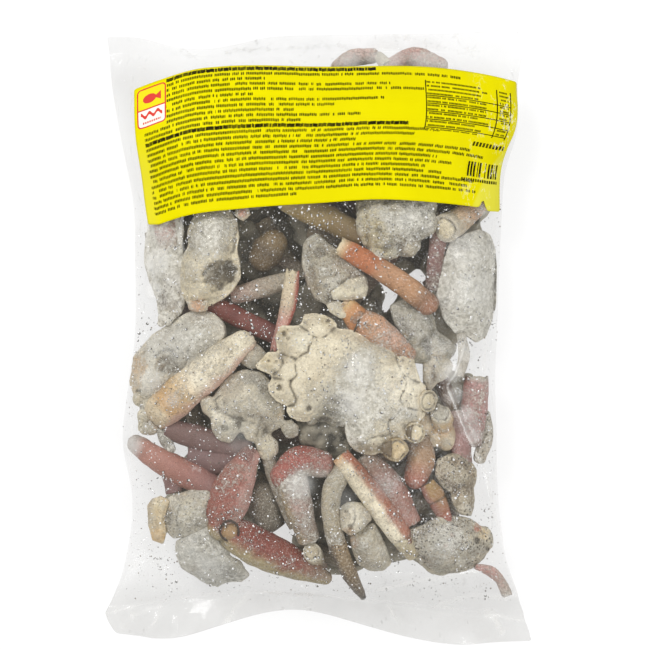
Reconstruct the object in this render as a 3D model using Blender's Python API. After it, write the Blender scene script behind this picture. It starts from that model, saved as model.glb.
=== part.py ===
"""A clear pillow bag of frozen cut crab with a paper label stuck across its upper part, lying on its back.

Blender 4.5, metres, +Z up. +Y runs to the bag's top seal, +X to its right side, and the origin is under the
middle of the bag, on the surface that it lies on.
"""

import bisect
import math

import bmesh
import bpy
from mathutils import Vector

MM = 0.001

# Driving dimensions, in millimetres
FLAT_WIDTH = 218.0  # of the film tube, laid flat
CROWN = 50.0  # how high the filled bag stands
RIM = 17.0  # height of the side folds, where the front film meets the back film
SEAL_HEIGHT = 10.0  # height of the two seal lines
FILM = 0.9  # thickness of the two films together in a seal
SIDE_POWER = 3.2  # how square the filled bag's cross section is
TOP_RAMP = 46.0  # length over which the bag swells from its top seal
BOTTOM_RAMP = 40.0
FLATTENING = 1.5  # share of the swell at which the underside already lies flat
BOTTOM_FLAP = 19.8  # length of the sealed flap past the seal line
TOP_FLAP = 11.5
LABEL_GAP = 1.1  # keeps the label's facets clear of the film's
LABEL_THICKNESS = 0.5

# How the drawing is divided into faces
BAG_ACROSS = 32
BAG_ALONG = 36
FLAP_ROWS = 4
LABEL_ACROSS = 28
LABEL_ALONG = 10

# How far the filled middle pulls each side fold in from the laid-flat width, as (y, mm)
LEFT_PULL = [
    (-160, 0), (-145, 0), (-131, 2.6), (-109, 9), (-84, 13.3), (-70, 12.5), (-48, 7.4), (-30, 9.6),
    (6, 14.5), (45, 14.5), (71, 14), (91, 10), (112, 5.7), (133, 2), (160, 0),
]
RIGHT_PULL = [
    (-160, 0), (-145, 1.6), (-125, 9), (-111, 13.5), (-100, 16.4), (33, 16.6), (65, 15), (91, 13),
    (106, 7.2), (133, 6.4), (141, 5), (160, 0),
]
# Plan of the seal lines, as (x, y)
BOTTOM_SEAL = [(-109, -137), (-72, -134.5), (-57, -131.2), (-15, -129), (24, -134), (80, -140.5), (109, -144)]
TOP_SEAL = [(-109, 147), (-62, 145), (0, 147.5), (50, 148), (109, 147)]
# How far each flap reaches past its seal line from above, as (x, mm): the rest of its length stands up
BOTTOM_REACH = [
    (-109, 13.5), (-89, 17.5), (-70, 19.6), (-57, 18), (-25, 10.3), (-10, 8.5), (3, 9.3), (25, 12.7),
    (46, 16.4), (72, 17.5), (89, 13.5), (109, 10),
]
TOP_REACH = [
    (-109, 8), (-91, 8.4), (-75, 4.5), (-60, 3.2), (-40, 6), (-28, 8.6), (3, 8.4), (70, 9),
    (90, 9.6), (109, 11.4),
]
# Where the contents push the front film up, as (x, y, radius, height)
LUMPS = [
    (18, -22, 42, 6.0), (-36, -36, 24, 3.0), (-61, -20, 20, 2.5), (-56, 44, 22, 3.5), (8, 33, 24, 3.0),
    (39, 56, 22, 3.5), (75, 31, 22, 3.0), (-40, -88, 24, 3.5), (-7, -78, 18, 2.5), (29, -82, 22, 3.5),
    (66, -106, 20, 3.0), (-72, -92, 16, 2.0), (-70, 96, 26, 2.5), (30, 110, 30, 3.0), (72, 92, 20, 2.0),
]
# Plan of the label's edges: the long ones as (x, y), the short ones as (y, x)
LABEL_TOP = [(-95, 128), (-78, 134.4), (-62, 139), (-50, 141), (3, 140.8), (60, 140), (87, 136.5), (101, 134)]
LABEL_BOTTOM = [(-85, 60), (-73, 63), (-41, 67.8), (3, 70.8), (33, 72.4), (67, 70), (93, 66.4)]
LABEL_LEFT = [(58, -84.6), (66, -88.6), (82, -91.6), (100, -94), (130, -95.2)]
LABEL_RIGHT = [(60, 91.6), (92, 93.2), (97, 95), (104, 99.8), (134, 100.6)]

PAPER_YELLOW = (0.88, 0.80, 0.02, 1.0)
FILLED_FILM = (0.62, 0.58, 0.50, 1.0)


def smooth_line(points):
    """A smooth curve through (position, value) points, as a function of position."""
    xs = [p[0] for p in points]
    ys = [p[1] for p in points]
    slopes = [(b[1] - a[1]) / (b[0] - a[0]) for a, b in zip(points, points[1:])]
    inner = [(a + b) / 2 for a, b in zip(slopes, slopes[1:])]
    tangents = [slopes[0]] + inner + [slopes[-1]]

    def value(x):
        x = min(max(x, xs[0]), xs[-1])
        i = min(bisect.bisect_right(xs, x), len(xs) - 1) - 1
        width = xs[i + 1] - xs[i]
        t = (x - xs[i]) / width
        start = ys[i] * (1 + 2 * t) * (1 - t) ** 2 + tangents[i] * width * t * (1 - t) ** 2
        end = ys[i + 1] * t * t * (3 - 2 * t) + tangents[i + 1] * width * t * t * (t - 1)
        return start + end

    return value


left_pull = smooth_line(LEFT_PULL)
right_pull = smooth_line(RIGHT_PULL)
bottom_seal = smooth_line(BOTTOM_SEAL)
top_seal = smooth_line(TOP_SEAL)
bottom_reach = smooth_line(BOTTOM_REACH)
top_reach = smooth_line(TOP_REACH)


def left_side(y):
    return -FLAT_WIDTH / 2 + left_pull(y)


def right_side(y):
    return FLAT_WIDTH / 2 - right_pull(y)


def quarter_round(share, power):
    """Rises from 0 to 1 as a superellipse's quarter does, upright at first and level at the end."""
    share = min(max(share, 0.0), 1.0)
    return (1 - (1 - share) ** power) ** (1 / power)


def swell(x, y):
    """How full the bag is at a point of its plan, from 0 at its edges to 1 over its middle."""
    left, right = left_side(y), right_side(y)
    across = min(abs((2 * x - left - right) / (right - left)), 1.0)
    side = math.sqrt(1 - across**SIDE_POWER)
    bottom = quarter_round((y - bottom_seal(x)) / BOTTOM_RAMP, 1.7)
    top = quarter_round((top_seal(x) - y) / TOP_RAMP, 1.7)
    return side * bottom * top


def lumps(x, y):
    """How far the pieces inside push the front film up."""
    return sum(
        height * math.exp(-((x - cx) ** 2 + (y - cy) ** 2) / (radius * 0.75) ** 2)
        for cx, cy, radius, height in LUMPS
    )


def rim(y):
    """Height of the line where the two films meet, lower towards the seals."""
    from_seal = min(y - bottom_seal(0), top_seal(0) - y)
    share = min(max(from_seal / BOTTOM_RAMP, 0.0), 1.0)
    return SEAL_HEIGHT + (RIM - SEAL_HEIGHT) * share * share * (3 - 2 * share)


def front_height(x, y):
    crown = CROWN - max(height for *_, height in LUMPS) + lumps(x, y)
    return rim(y) + FILM / 2 + (crown - rim(y)) * swell(x, y)


def back_height(x, y):
    return (rim(y) - FILM / 2) * (1 - min(FLATTENING * swell(x, y), 1.0))


def flap_point(x, share, bottom):
    """A point on a sealed flap, at a share of its length past the seal line: (y, height)."""
    length, reach, seal = (
        (BOTTOM_FLAP, bottom_reach(x), bottom_seal(x)) if bottom else (TOP_FLAP, top_reach(x), top_seal(x))
    )
    rise = math.sqrt(max(length**2 - reach**2, 0.0))
    return seal + share * (-reach if bottom else reach), SEAL_HEIGHT + share * rise


def spread(share):
    """Moves evenly spaced shares from 0 to 1 closer together near both ends."""
    return (1 - math.cos(math.pi * share)) / 2


def bag_point(across, row, front):
    """Where a point of the grid lies, across from 0 to 1 and row from 0 at the bag's bottom edge."""
    body_row = (row - FLAP_ROWS) / (BAG_ALONG - 2 * FLAP_ROWS)
    share = min(max(body_row, 0.0), 1.0)
    along = 0.5 * spread(share) + 0.5 * share
    side = 0.7 * spread(across) + 0.3 * across
    y = bottom_seal(0) + along * (top_seal(0) - bottom_seal(0))
    past_seal = max(FLAP_ROWS - row, row - (BAG_ALONG - FLAP_ROWS), 0.0) / FLAP_ROWS
    y += past_seal * (-BOTTOM_FLAP if body_row < 0 else TOP_FLAP)
    x = left_side(y) + side * (right_side(y) - left_side(y))
    if past_seal > 0:
        y, height = flap_point(x, past_seal, bottom=body_row < 0)
        return Vector((x, y, height + (FILM / 2 if front else -FILM / 2)))
    y = bottom_seal(x) + along * (top_seal(x) - bottom_seal(x))
    return Vector((x, y, front_height(x, y) if front else back_height(x, y)))


def add_grid(bm, across, along, place):
    """Adds a grid whose point (across, row) is set by place, and returns its border edges."""
    made = bmesh.ops.create_grid(bm, x_segments=across, y_segments=along, size=1.0)
    for vert in made["verts"]:
        vert.co = place((vert.co.x + 1) / 2, (vert.co.y + 1) / 2 * along)
    edges = {edge for vert in made["verts"] for edge in vert.link_edges}
    return [edge for edge in edges if edge.is_boundary]


def closed_sheet(name, across, along, front, back, colour, roughness):
    """A solid between two like grids, one over the other, joined round their borders."""
    bm = bmesh.new()
    border = add_grid(bm, across, along, front)
    border += add_grid(bm, across, along, back)
    bmesh.ops.bridge_loops(bm, edges=border)
    bmesh.ops.recalc_face_normals(bm, faces=bm.faces)
    bmesh.ops.scale(bm, vec=(MM, MM, MM), verts=bm.verts)
    mesh = bpy.data.meshes.new(name)
    bm.to_mesh(mesh)
    bm.free()
    mesh.shade_smooth()
    mesh.materials.append(principled(name, colour, roughness))
    return bpy.data.objects.new(name, mesh)


def principled(name, colour, roughness):
    material = bpy.data.materials.new(name)
    material.use_nodes = True
    shader = material.node_tree.nodes["Principled BSDF"]
    shader.inputs["Base Color"].default_value = colour
    shader.inputs["Roughness"].default_value = roughness
    shader.inputs["Metallic"].default_value = 0.0
    return material


def make_bag():
    return closed_sheet(
        "bag",
        BAG_ACROSS,
        BAG_ALONG,
        lambda across, row: bag_point(across, row, front=True),
        lambda across, row: bag_point(across, row, front=False),
        FILLED_FILM,
        0.25,
    )


def make_label():
    top, bottom = smooth_line(LABEL_TOP), smooth_line(LABEL_BOTTOM)
    left, right = smooth_line(LABEL_LEFT), smooth_line(LABEL_RIGHT)
    middle = (bottom(0) + top(0)) / 2

    def place(across, row, lift):
        across = spread(across)
        x = left(middle) + across * (right(middle) - left(middle))
        share = row / LABEL_ALONG
        y = bottom(x) + share * (top(x) - bottom(x))
        x = left(y) + across * (right(y) - left(y))
        return Vector((x, y, front_height(x, y) + lift))

    return closed_sheet(
        "label",
        LABEL_ACROSS,
        LABEL_ALONG,
        lambda across, row: place(across, row, LABEL_GAP + LABEL_THICKNESS),
        lambda across, row: place(across, row, LABEL_GAP),
        PAPER_YELLOW,
        0.45,
    )


def centre_over_origin(objects):
    """Slides the whole object so that its box is centred over the origin and rests on it."""
    corners = [vert.co for obj in objects for vert in obj.data.vertices]
    low = Vector(map(min, zip(*corners)))
    high = Vector(map(max, zip(*corners)))
    shift = Vector(((low.x + high.x) / 2, (low.y + high.y) / 2, low.z))
    for obj in objects:
        for vert in obj.data.vertices:
            vert.co -= shift


def main():
    for obj in list(bpy.data.objects):
        bpy.data.objects.remove(obj)
    collection = bpy.data.collections.new("frozen_crab_bag")
    bpy.context.scene.collection.children.link(collection)
    objects = [make_bag(), make_label()]
    centre_over_origin(objects)
    for obj in objects:
        collection.objects.link(obj)


main()
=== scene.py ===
import math
import random

import bpy
import numpy as np
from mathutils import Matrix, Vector, noise
from mathutils.bvhtree import BVHTree


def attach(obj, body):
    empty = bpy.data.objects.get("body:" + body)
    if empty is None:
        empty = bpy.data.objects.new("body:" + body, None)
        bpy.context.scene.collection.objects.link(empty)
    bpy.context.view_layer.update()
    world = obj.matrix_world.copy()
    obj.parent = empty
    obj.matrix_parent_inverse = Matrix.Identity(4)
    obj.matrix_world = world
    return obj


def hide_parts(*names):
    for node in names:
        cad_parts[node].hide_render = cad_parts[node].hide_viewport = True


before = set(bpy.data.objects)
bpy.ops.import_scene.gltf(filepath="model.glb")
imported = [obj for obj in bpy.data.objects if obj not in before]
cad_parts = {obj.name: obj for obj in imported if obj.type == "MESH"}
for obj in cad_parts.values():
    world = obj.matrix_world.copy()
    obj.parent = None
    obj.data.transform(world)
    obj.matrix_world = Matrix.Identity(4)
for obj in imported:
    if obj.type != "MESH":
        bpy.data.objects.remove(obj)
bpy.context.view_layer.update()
mm = 0.001
bpy.ops.object.select_all(action="DESELECT")

# Places are drawn on a square sheet seen from the camera: x to the right, y down, one unit 0.515 mm.
sheet = {"unit": 0.515 * mm, "middle": (318.5, 337.5), "camera": (325.0, 325.0), "wide": 650}
camera = {"height": 1.5, "planeHeight": 12 * mm, "sensor": 36.0}
rays = {"above": 0.2, "below": -0.1}  # heights in metres where the rays that measure a surface start


def onPlan(x, y):
    return Vector(((x - sheet["middle"][0]) * sheet["unit"], (sheet["middle"][1] - y) * sheet["unit"]))


def place(x, y, z):
    # the point at height z that the camera sees at x, y on the sheet
    eye = onPlan(*sheet["camera"])
    share = (camera["height"] - z) / (camera["height"] - camera["planeHeight"])
    spot = eye + (onPlan(x, y) - eye) * share
    return Vector((spot.x, spot.y, z))


# The bag's solid gives the height of its front and back at any spot.
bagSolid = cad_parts["bag"]
bagMesh = bagSolid.data
bagTree = BVHTree.FromPolygons([v.co for v in bagMesh.vertices], [p.vertices for p in bagMesh.polygons])


def castDown(tree, x, y):
    return tree.ray_cast(Vector((x, y, rays["above"])), Vector((0, 0, -1)))[0]


def frontAt(x, y):
    hit = castDown(bagTree, x, y)
    return hit.z if hit else 0.0


def backAt(x, y):
    hit = bagTree.ray_cast(Vector((x, y, rays["below"])), Vector((0, 0, 1)))[0]
    return hit.z if hit else 0.0


def fronts(where):
    return np.array([frontAt(x, y) for x, y in where[:, :2]])


def backs(where):
    return np.array([backAt(x, y) for x, y in where[:, :2]])


def onFront(x, y):
    # the spot on the bag's front over x, y of the sheet
    return place(x, y, frontAt(*onPlan(x, y)))


def rgb(red, green, blue):
    # a colour named by its 0 to 255 screen values, as linear light
    return tuple(((c / 255 + 0.055) / 1.055) ** 2.4 if c > 10 else c / 3294 for c in (red, green, blue))


def spots(piece):
    flat = np.empty(len(piece.data.vertices) * 3)
    piece.data.vertices.foreach_get("co", flat)
    return flat.reshape(-1, 3)


def moveSpots(piece, where):
    piece.data.vertices.foreach_set("co", np.asarray(where, float).ravel())
    piece.data.update()


def setValues(piece, name, values):
    # one value for each vertex, or the same one for all
    layer = piece.data.attributes.get(name) or piece.data.attributes.new(name, "FLOAT", "POINT")
    layer.data.foreach_set("value", np.full(len(piece.data.vertices), values, float))


def getValues(piece, name):
    values = np.empty(len(piece.data.vertices))
    piece.data.attributes[name].data.foreach_get("value", values)
    return values


def setTints(piece, colours):
    layer = piece.data.attributes.get("tint") or piece.data.attributes.new("tint", "FLOAT_COLOR", "POINT")
    layer.data.foreach_set("color", np.column_stack([colours, np.ones(len(colours))]).ravel())


def blend(tints, colour, weight):
    return tints * (1 - weight) + np.array(rgb(*colour)) * weight


def rough(where, size, seed=0.0):
    # smooth noise from -1 to 1 at each spot, with features of the given size
    shift = Vector((seed * 3.1, seed * 1.7, seed * 2.3))
    return np.array([noise.noise(Vector(p) / size + shift) for p in where])


def softStep(values, low, high):
    share = np.clip((values - low) / (high - low), 0, 1)
    return share * share * (3 - 2 * share)


def through(knots, values, share):
    # a smooth curve through values at knots, read at each share
    knots, values = np.asarray(knots, float), np.asarray(values, float)
    if values.ndim == 1:
        return through(knots, values[:, None], share)[:, 0]
    slopes = np.gradient(values, knots, axis=0)
    i = np.clip(np.searchsorted(knots, share, side="right") - 1, 0, len(knots) - 2)
    width = (knots[i + 1] - knots[i])[:, None]
    t = ((share - knots[i])[:, None]) / width
    return (
        values[i] * (1 + 2 * t) * (1 - t) ** 2 + slopes[i] * width * t * (1 - t) ** 2
        + values[i + 1] * t * t * (3 - 2 * t) + slopes[i + 1] * width * t * t * (t - 1)
    )


def roundGap(where, middle, radius):
    # distance on the plan from a middle, as a share of a radius in mm
    return np.hypot(where[:, 0] - middle.x, where[:, 1] - middle.y) / (radius * mm)


def segmentGap(where, a, b):
    # distance on the plan from the straight line between two spots
    along = b - a
    share = np.clip(((where[:, :2] - a) @ along) / (along @ along), 0, 1)
    return np.linalg.norm(where[:, :2] - a - share[:, None] * along, axis=1)


def only(piece):
    bpy.ops.object.select_all(action="DESELECT")
    piece.select_set(True)
    bpy.context.view_layer.objects.active = piece
    return piece


def settle(piece):
    # bakes an object's place, turn and size into its mesh
    only(piece)
    bpy.ops.object.transform_apply(location=True, rotation=True, scale=True)
    return piece


def modify(piece, kind, **settings):
    only(piece)
    modifier = piece.modifiers.new(kind.title(), kind)
    for key, value in settings.items():
        setattr(modifier, key, value)
    bpy.ops.object.modifier_apply(modifier=modifier.name)
    return piece


def selectFaces(piece, test):
    # leaves the piece in edit mode with only those faces picked whose normal passes the test
    bpy.ops.object.mode_set(mode="EDIT")
    bpy.ops.mesh.select_mode(type="FACE")
    bpy.ops.mesh.select_all(action="DESELECT")
    bpy.ops.object.mode_set(mode="OBJECT")
    for face in piece.data.polygons:
        face.select = test(face.normal)
    bpy.ops.object.mode_set(mode="EDIT")


def joinAll(pieces, name):
    bpy.ops.object.select_all(action="DESELECT")
    for piece in pieces:
        piece.select_set(True)
    bpy.context.view_layer.objects.active = pieces[0]
    if len(pieces) > 1:
        bpy.ops.object.join()
    joined = bpy.context.view_layer.objects.active
    joined.name = joined.data.name = name
    joined.data.shade_smooth()
    return joined


def cloudTexture(name, size):
    texture = bpy.data.textures.new(name, "CLOUDS")
    texture.noise_scale = size
    texture.noise_depth = 2
    return texture


# A limb starts as a blank: a tube of radius 1 from height 0 to 1, with the rings of its ends far away,
# endAway and more beyond it. Each ring is (radius, how far it stands out), in radii.
endAway = 10
endShapes = {
    "round": [(0.97, 0.2), (0.88, 0.42), (0.72, 0.62), (0.5, 0.77), (0.26, 0.87), (0.08, 0.9)],
    "hollow": [
        (0.97, 0.08), (0.88, 0.1), (0.79, 0.02), (0.74, -0.2), (0.55, -0.34), (0.3, -0.22), (0.08, -0.2),
    ],
    "cut": [(0.96, 0.06), (0.84, 0.08), (0.74, -0.02), (0.62, 0.06), (0.36, 0.12), (0.1, 0.08)],
}
blanks = {}


def tubeBlank(start, end, rings, sides):
    if (start, end, rings) in blanks:
        return blanks[start, end, rings]
    bpy.ops.mesh.primitive_cylinder_add(vertices=sides, radius=1, depth=1 / rings, end_fill_type="NGON",
                                        location=(0, 0, 0.5 / rings))
    blank = settle(bpy.context.object)
    for direction, shape in ((1, endShapes[end]), (-1, endShapes[start])):
        selectFaces(blank, lambda normal: normal.z * direction > 0.9)
        if direction > 0:
            for _ in range(rings - 1):
                bpy.ops.mesh.extrude_region_move(TRANSFORM_OT_translate={"value": (0, 0, 1 / rings)})
        height = 1.0 if direction > 0 else 0.0
        radius = 1.0
        for newRadius, offset in shape:
            newHeight = direction * (endAway + offset)
            rise = newHeight - height
            bpy.ops.mesh.extrude_region_move(TRANSFORM_OT_translate={"value": (0, 0, rise)})
            ratio = newRadius / radius
            bpy.ops.transform.resize(value=(ratio, ratio, 1), center_override=(0, 0, newHeight))
            height, radius = newHeight, newRadius
    bpy.ops.object.mode_set(mode="OBJECT")
    blank.name = f"blank_{start}_{end}_{rings}"
    blanks[start, end, rings] = blank
    return blank


meat = rgb(222, 208, 178)
# rings and sides of a limb, and how far in mm it keeps from the bag's back and front
limbGrid = {"shown": (34, 22), "hidden": (20, 16), "overBack": 0.8, "underFront": 0.5}
# joints dip and darken over shares of the length, and the skin waves broadly and finely, sizes in mm
limbSkin = {"dip": 0.13, "dipWide": 0.03, "ringWide": 0.022, "broad": 7, "fine": 2.4, "fineHigh": 0.22}


def layLimb(path, widths, ends=("cut", "cut"), flat=0.86, tints=((0, (200, 180, 150)),), edge=None,
            frost=0.2, speck=0.0, joints=(), lump=0.05, ragged=0.15, seed=1, meatTint=meat, onBack=False):
    # path: (x, y, sink). tints: (share of the length, colour). edge: (colour, side, where it starts)
    blank = tubeBlank(*ends, *limbGrid["hidden" if onBack else "shown"])
    limb = blank.copy()
    limb.data = blank.data.copy()
    bpy.context.collection.objects.link(limb)
    local = spots(limb)
    knots = np.concatenate([[0], np.cumsum([math.dist(a[:2], b[:2]) for a, b in zip(path, path[1:])])])
    knots = knots / knots[-1]
    widthKnots = np.linspace(0, 1, len(widths))
    route = []
    for knot, (x, y, sink) in zip(knots, path):
        half = float(through(widthKnots, widths, np.array([knot]))[0]) / 2 * mm
        flatSpot = onPlan(x, y)
        low = backAt(*flatSpot) + half * flat + limbGrid["overBack"] * mm
        high = frontAt(*flatSpot) - half * flat - limbGrid["underFront"] * mm
        z = low + sink * mm if onBack else high - sink * mm
        ceiling = high if sink >= 0 else high + half * flat * 0.8
        route.append(place(x, y, max(min(z, ceiling), low)))
    isStart, isEnd = local[:, 2] < -endAway / 2, local[:, 2] > endAway / 2
    share = np.where(isStart, 0, np.where(isEnd, 1, local[:, 2]))
    offset = np.where(isStart, -endAway - local[:, 2], np.where(isEnd, local[:, 2] - endAway, 0))
    heading = np.where(isStart, -1, 1)
    centre = through(knots, route, share)
    step = 0.01
    ahead = through(knots, route, np.clip(share + step, 0, 1))
    ahead = ahead - through(knots, route, np.clip(share - step, 0, 1))
    ahead /= np.linalg.norm(ahead, axis=1)[:, None]
    side = np.cross((0, 0, 1), ahead)
    side /= np.linalg.norm(side, axis=1)[:, None]
    upward = np.cross(ahead, side)
    half = through(widthKnots, widths, share) / 2 * mm
    for joint in joints:
        half = half * (1 - limbSkin["dip"] * np.exp(-(((share - joint) / limbSkin["dipWide"]) ** 2)))
    angle = np.arctan2(local[:, 1], local[:, 0])
    around = np.column_stack([np.cos(angle), np.sin(angle), heading * 0.0]) * 1.3
    rag = rough(around + seed, 1.0) * ragged + rough(around * 2.3 + seed, 1.0) * ragged * 0.6
    nearEnd = np.where(isStart | isEnd, 1.0, np.maximum(0, 1 - np.minimum(share, 1 - share) / 0.06))
    offset = offset + rag * nearEnd * np.where(np.hypot(local[:, 0], local[:, 1]) > 0.7, 1, 0.3)
    heading = np.where(share < 0.5, -1, 1)
    where = centre + ahead * (offset * half * heading)[:, None]
    skin = centre + side * local[:, :1] * half[:, None] + upward * local[:, 1:2] * half[:, None]
    reach = half * (1 + lump * rough(skin, limbSkin["broad"] * mm, seed) * 1.6)
    reach = reach + rough(skin, limbSkin["fine"] * mm, seed + 3) * limbSkin["fineHigh"] * mm
    where = where + side * (local[:, 0] * reach)[:, None] + upward * (local[:, 1] * reach * flat)[:, None]
    moveSpots(limb, where)
    tints = sorted(tints)
    stops = [t[0] for t in tints]
    colours = np.array([rgb(*t[1]) for t in tints])
    tint = np.column_stack([np.interp(share, stops, colours[:, k]) for k in range(3)])
    if edge:
        edgeColour, edgeSide, edgeFrom = edge
        waver = 0.25 * rough(where, 5 * mm, seed + 7)
        weight = softStep(-local[:, 0] * edgeSide + waver, edgeFrom, edgeFrom + 0.55)[:, None]
        tint = blend(tint, edgeColour, weight)
    radius = np.hypot(local[:, 0], local[:, 1])
    opened = (isStart | isEnd) & np.where(isStart, ends[0] != "round", ends[1] != "round")
    inside = opened & (radius < 0.8)
    tint[inside] = meatTint
    rim = opened & (np.abs(radius - 0.79) < 0.06)
    # Painted shade inside hollow cut ends; the dark rim of a cut end and the dark joint rings are the shell's
    # own colour.
    reliefShadeAndJoints = np.where(inside & (offset < -0.08), 0.75, 0.0) + np.where(rim, 0.5, 0)
    for joint in joints:
        reliefShadeAndJoints = np.maximum(reliefShadeAndJoints, np.exp(-(((share - joint) / limbSkin["ringWide"]) ** 2)))
    setTints(limb, tint)
    setValues(limb, "reliefShadeAndJoints", reliefShadeAndJoints)
    setValues(limb, "frost", frost)
    setValues(limb, "speck", speck)
    return limb


# Bodies are rounded lumps and cut slabs, mostly fused into one skin.
bodyRoom = {"overBack": 0.8, "underFront": 0.5}  # how far in mm they keep from the bag's back and front


def addLump(x, y, sink, long, wide, thick, turn=0):
    bpy.ops.mesh.primitive_uv_sphere_add(segments=28, ring_count=18, radius=0.5)
    lump = bpy.context.object
    lump.scale = (long * mm, wide * mm, thick * mm)
    lump.rotation_euler = (0, 0, math.radians(turn))
    flatSpot = onPlan(x, y)
    low = backAt(*flatSpot) + (thick / 2 + bodyRoom["overBack"]) * mm
    high = frontAt(*flatSpot) - (thick / 2 + bodyRoom["underFront"]) * mm
    z = low - sink * mm if sink <= 0 else high - sink * mm  # none or below counts up from the back
    lump.location = place(x, y, max(min(z, high), low))
    return settle(lump)


def insideBy(where, outline):
    # how far inside an outline each spot lies on the plan, below nought outside
    corners = [np.array(c) for c in outline]
    best, odd = np.full(len(where), 1.0), np.zeros(len(where), bool)
    x, y = where[:, 0], where[:, 1]
    for a, b in zip(corners, corners[1:] + corners[:1]):
        best = np.minimum(best, segmentGap(where, a, b))
        if a[1] != b[1]:
            odd ^= ((a[1] > y) != (b[1] > y)) & (x < (b[0] - a[0]) * (y - a[1]) / (b[1] - a[1]) + a[0])
    return np.where(odd, best, -best)


def pushOut(corners, distance):
    # an outline grown by a distance
    ring = np.array([tuple(c) for c in corners])
    along = np.roll(ring, -1, axis=0) - np.roll(ring, 1, axis=0)
    turned = np.column_stack([along[:, 1], -along[:, 0]]) / np.linalg.norm(along, axis=1)[:, None]
    area = (ring[:, 0] * np.roll(ring[:, 1], -1) - np.roll(ring[:, 0], -1) * ring[:, 1]).sum()
    return [Vector(c) for c in ring + turned * distance * np.sign(area)]


def addPlate(outline, sink, thick, crown=3.0, slope=6.0, grow=0.9, voxel=1.0):
    # a slab cut to an outline on the sheet, crowned above and rounded off below
    middle = np.mean(outline, axis=0)
    level = frontAt(*onPlan(*middle)) - sink * mm
    corners = pushOut([place(x, y, level - crown * 0.4 * mm).xy for x, y in outline], grow * mm)
    bpy.ops.mesh.primitive_circle_add(vertices=len(outline), radius=1, fill_type="NGON")
    slab = bpy.context.object
    for vertex, corner in zip(slab.data.vertices, corners):
        vertex.co = (corner.x, corner.y, 0)
    bpy.ops.object.mode_set(mode="EDIT")
    bpy.ops.mesh.select_all(action="SELECT")
    bpy.ops.mesh.extrude_region_move(TRANSFORM_OT_translate={"value": (0, 0, -thick * mm)})
    bpy.ops.mesh.select_all(action="SELECT")
    bpy.ops.mesh.normals_make_consistent(inside=False)
    bpy.ops.object.mode_set(mode="OBJECT")
    modify(slab, "REMESH", mode="VOXEL", voxel_size=voxel * mm)
    modify(slab, "SMOOTH", factor=0.5, iterations=3)
    where = spots(slab)
    inside = softStep(insideBy(where, corners), 0.0, slope * mm)
    height = 1 + where[:, 2] / (thick * mm)
    front, back, rimmed = fronts(where), backs(where), 1 - inside
    z = front - (sink + bodyRoom["underFront"]) * mm + where[:, 2] - crown * mm * rimmed * height
    z = z + 0.35 * thick * mm * rimmed * (1 - height)
    lowest = back + bodyRoom["overBack"] * mm + height * 1.5 * mm
    where[:, 2] = np.minimum(np.maximum(z, lowest), front - 0.4 * mm)
    moveSpots(slab, where)
    return slab


def sumAround(first, second, values):
    # at each vertex the sum of its neighbours' values
    return np.bincount(first, values[second], len(values)) + np.bincount(second, values[first], len(values))


def hollowness(piece, rounds=9):
    # how far each vertex lies inside the smoothed skin, in metres
    first, second = edgeEnds(piece)
    where = spots(piece)
    count = np.bincount(np.concatenate([first, second]), minlength=len(where))[:, None]
    smooth = where.copy()
    for _ in range(rounds):
        total = np.column_stack([sumAround(first, second, smooth[:, k]) for k in range(3)])
        smooth = total / np.maximum(count, 1)
    normals = np.empty(len(where) * 3)
    piece.data.vertices.foreach_get("normal", normals)
    return ((smooth - where) * normals.reshape(-1, 3)).sum(1)


def edgeEnds(piece):
    pairs = np.empty(len(piece.data.edges) * 2, int)
    piece.data.edges.foreach_get("vertices", pairs)
    return pairs.reshape(-1, 2).T


stains = {
    "shades": [
        (188, 162, 122), (148, 142, 128), (228, 224, 212), (140, 120, 94), (216, 202, 170), (170, 160, 140),
    ],
    "radius": (1.2, 4.2), "strength": (0.25, 0.65),
}
topDepth = (-14 * mm, -9 * mm)  # dents and cracks fade out between these depths under the front


def stainWeight(where, middle, radius, seed):
    gap = roundGap(where, middle, radius)
    gap += 0.3 * rough(where, 5 * mm, seed) + 0.3 * rough(where, 1.6 * mm, seed + 4)
    return softStep(-gap, -1.15, -0.75)[:, None]


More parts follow.
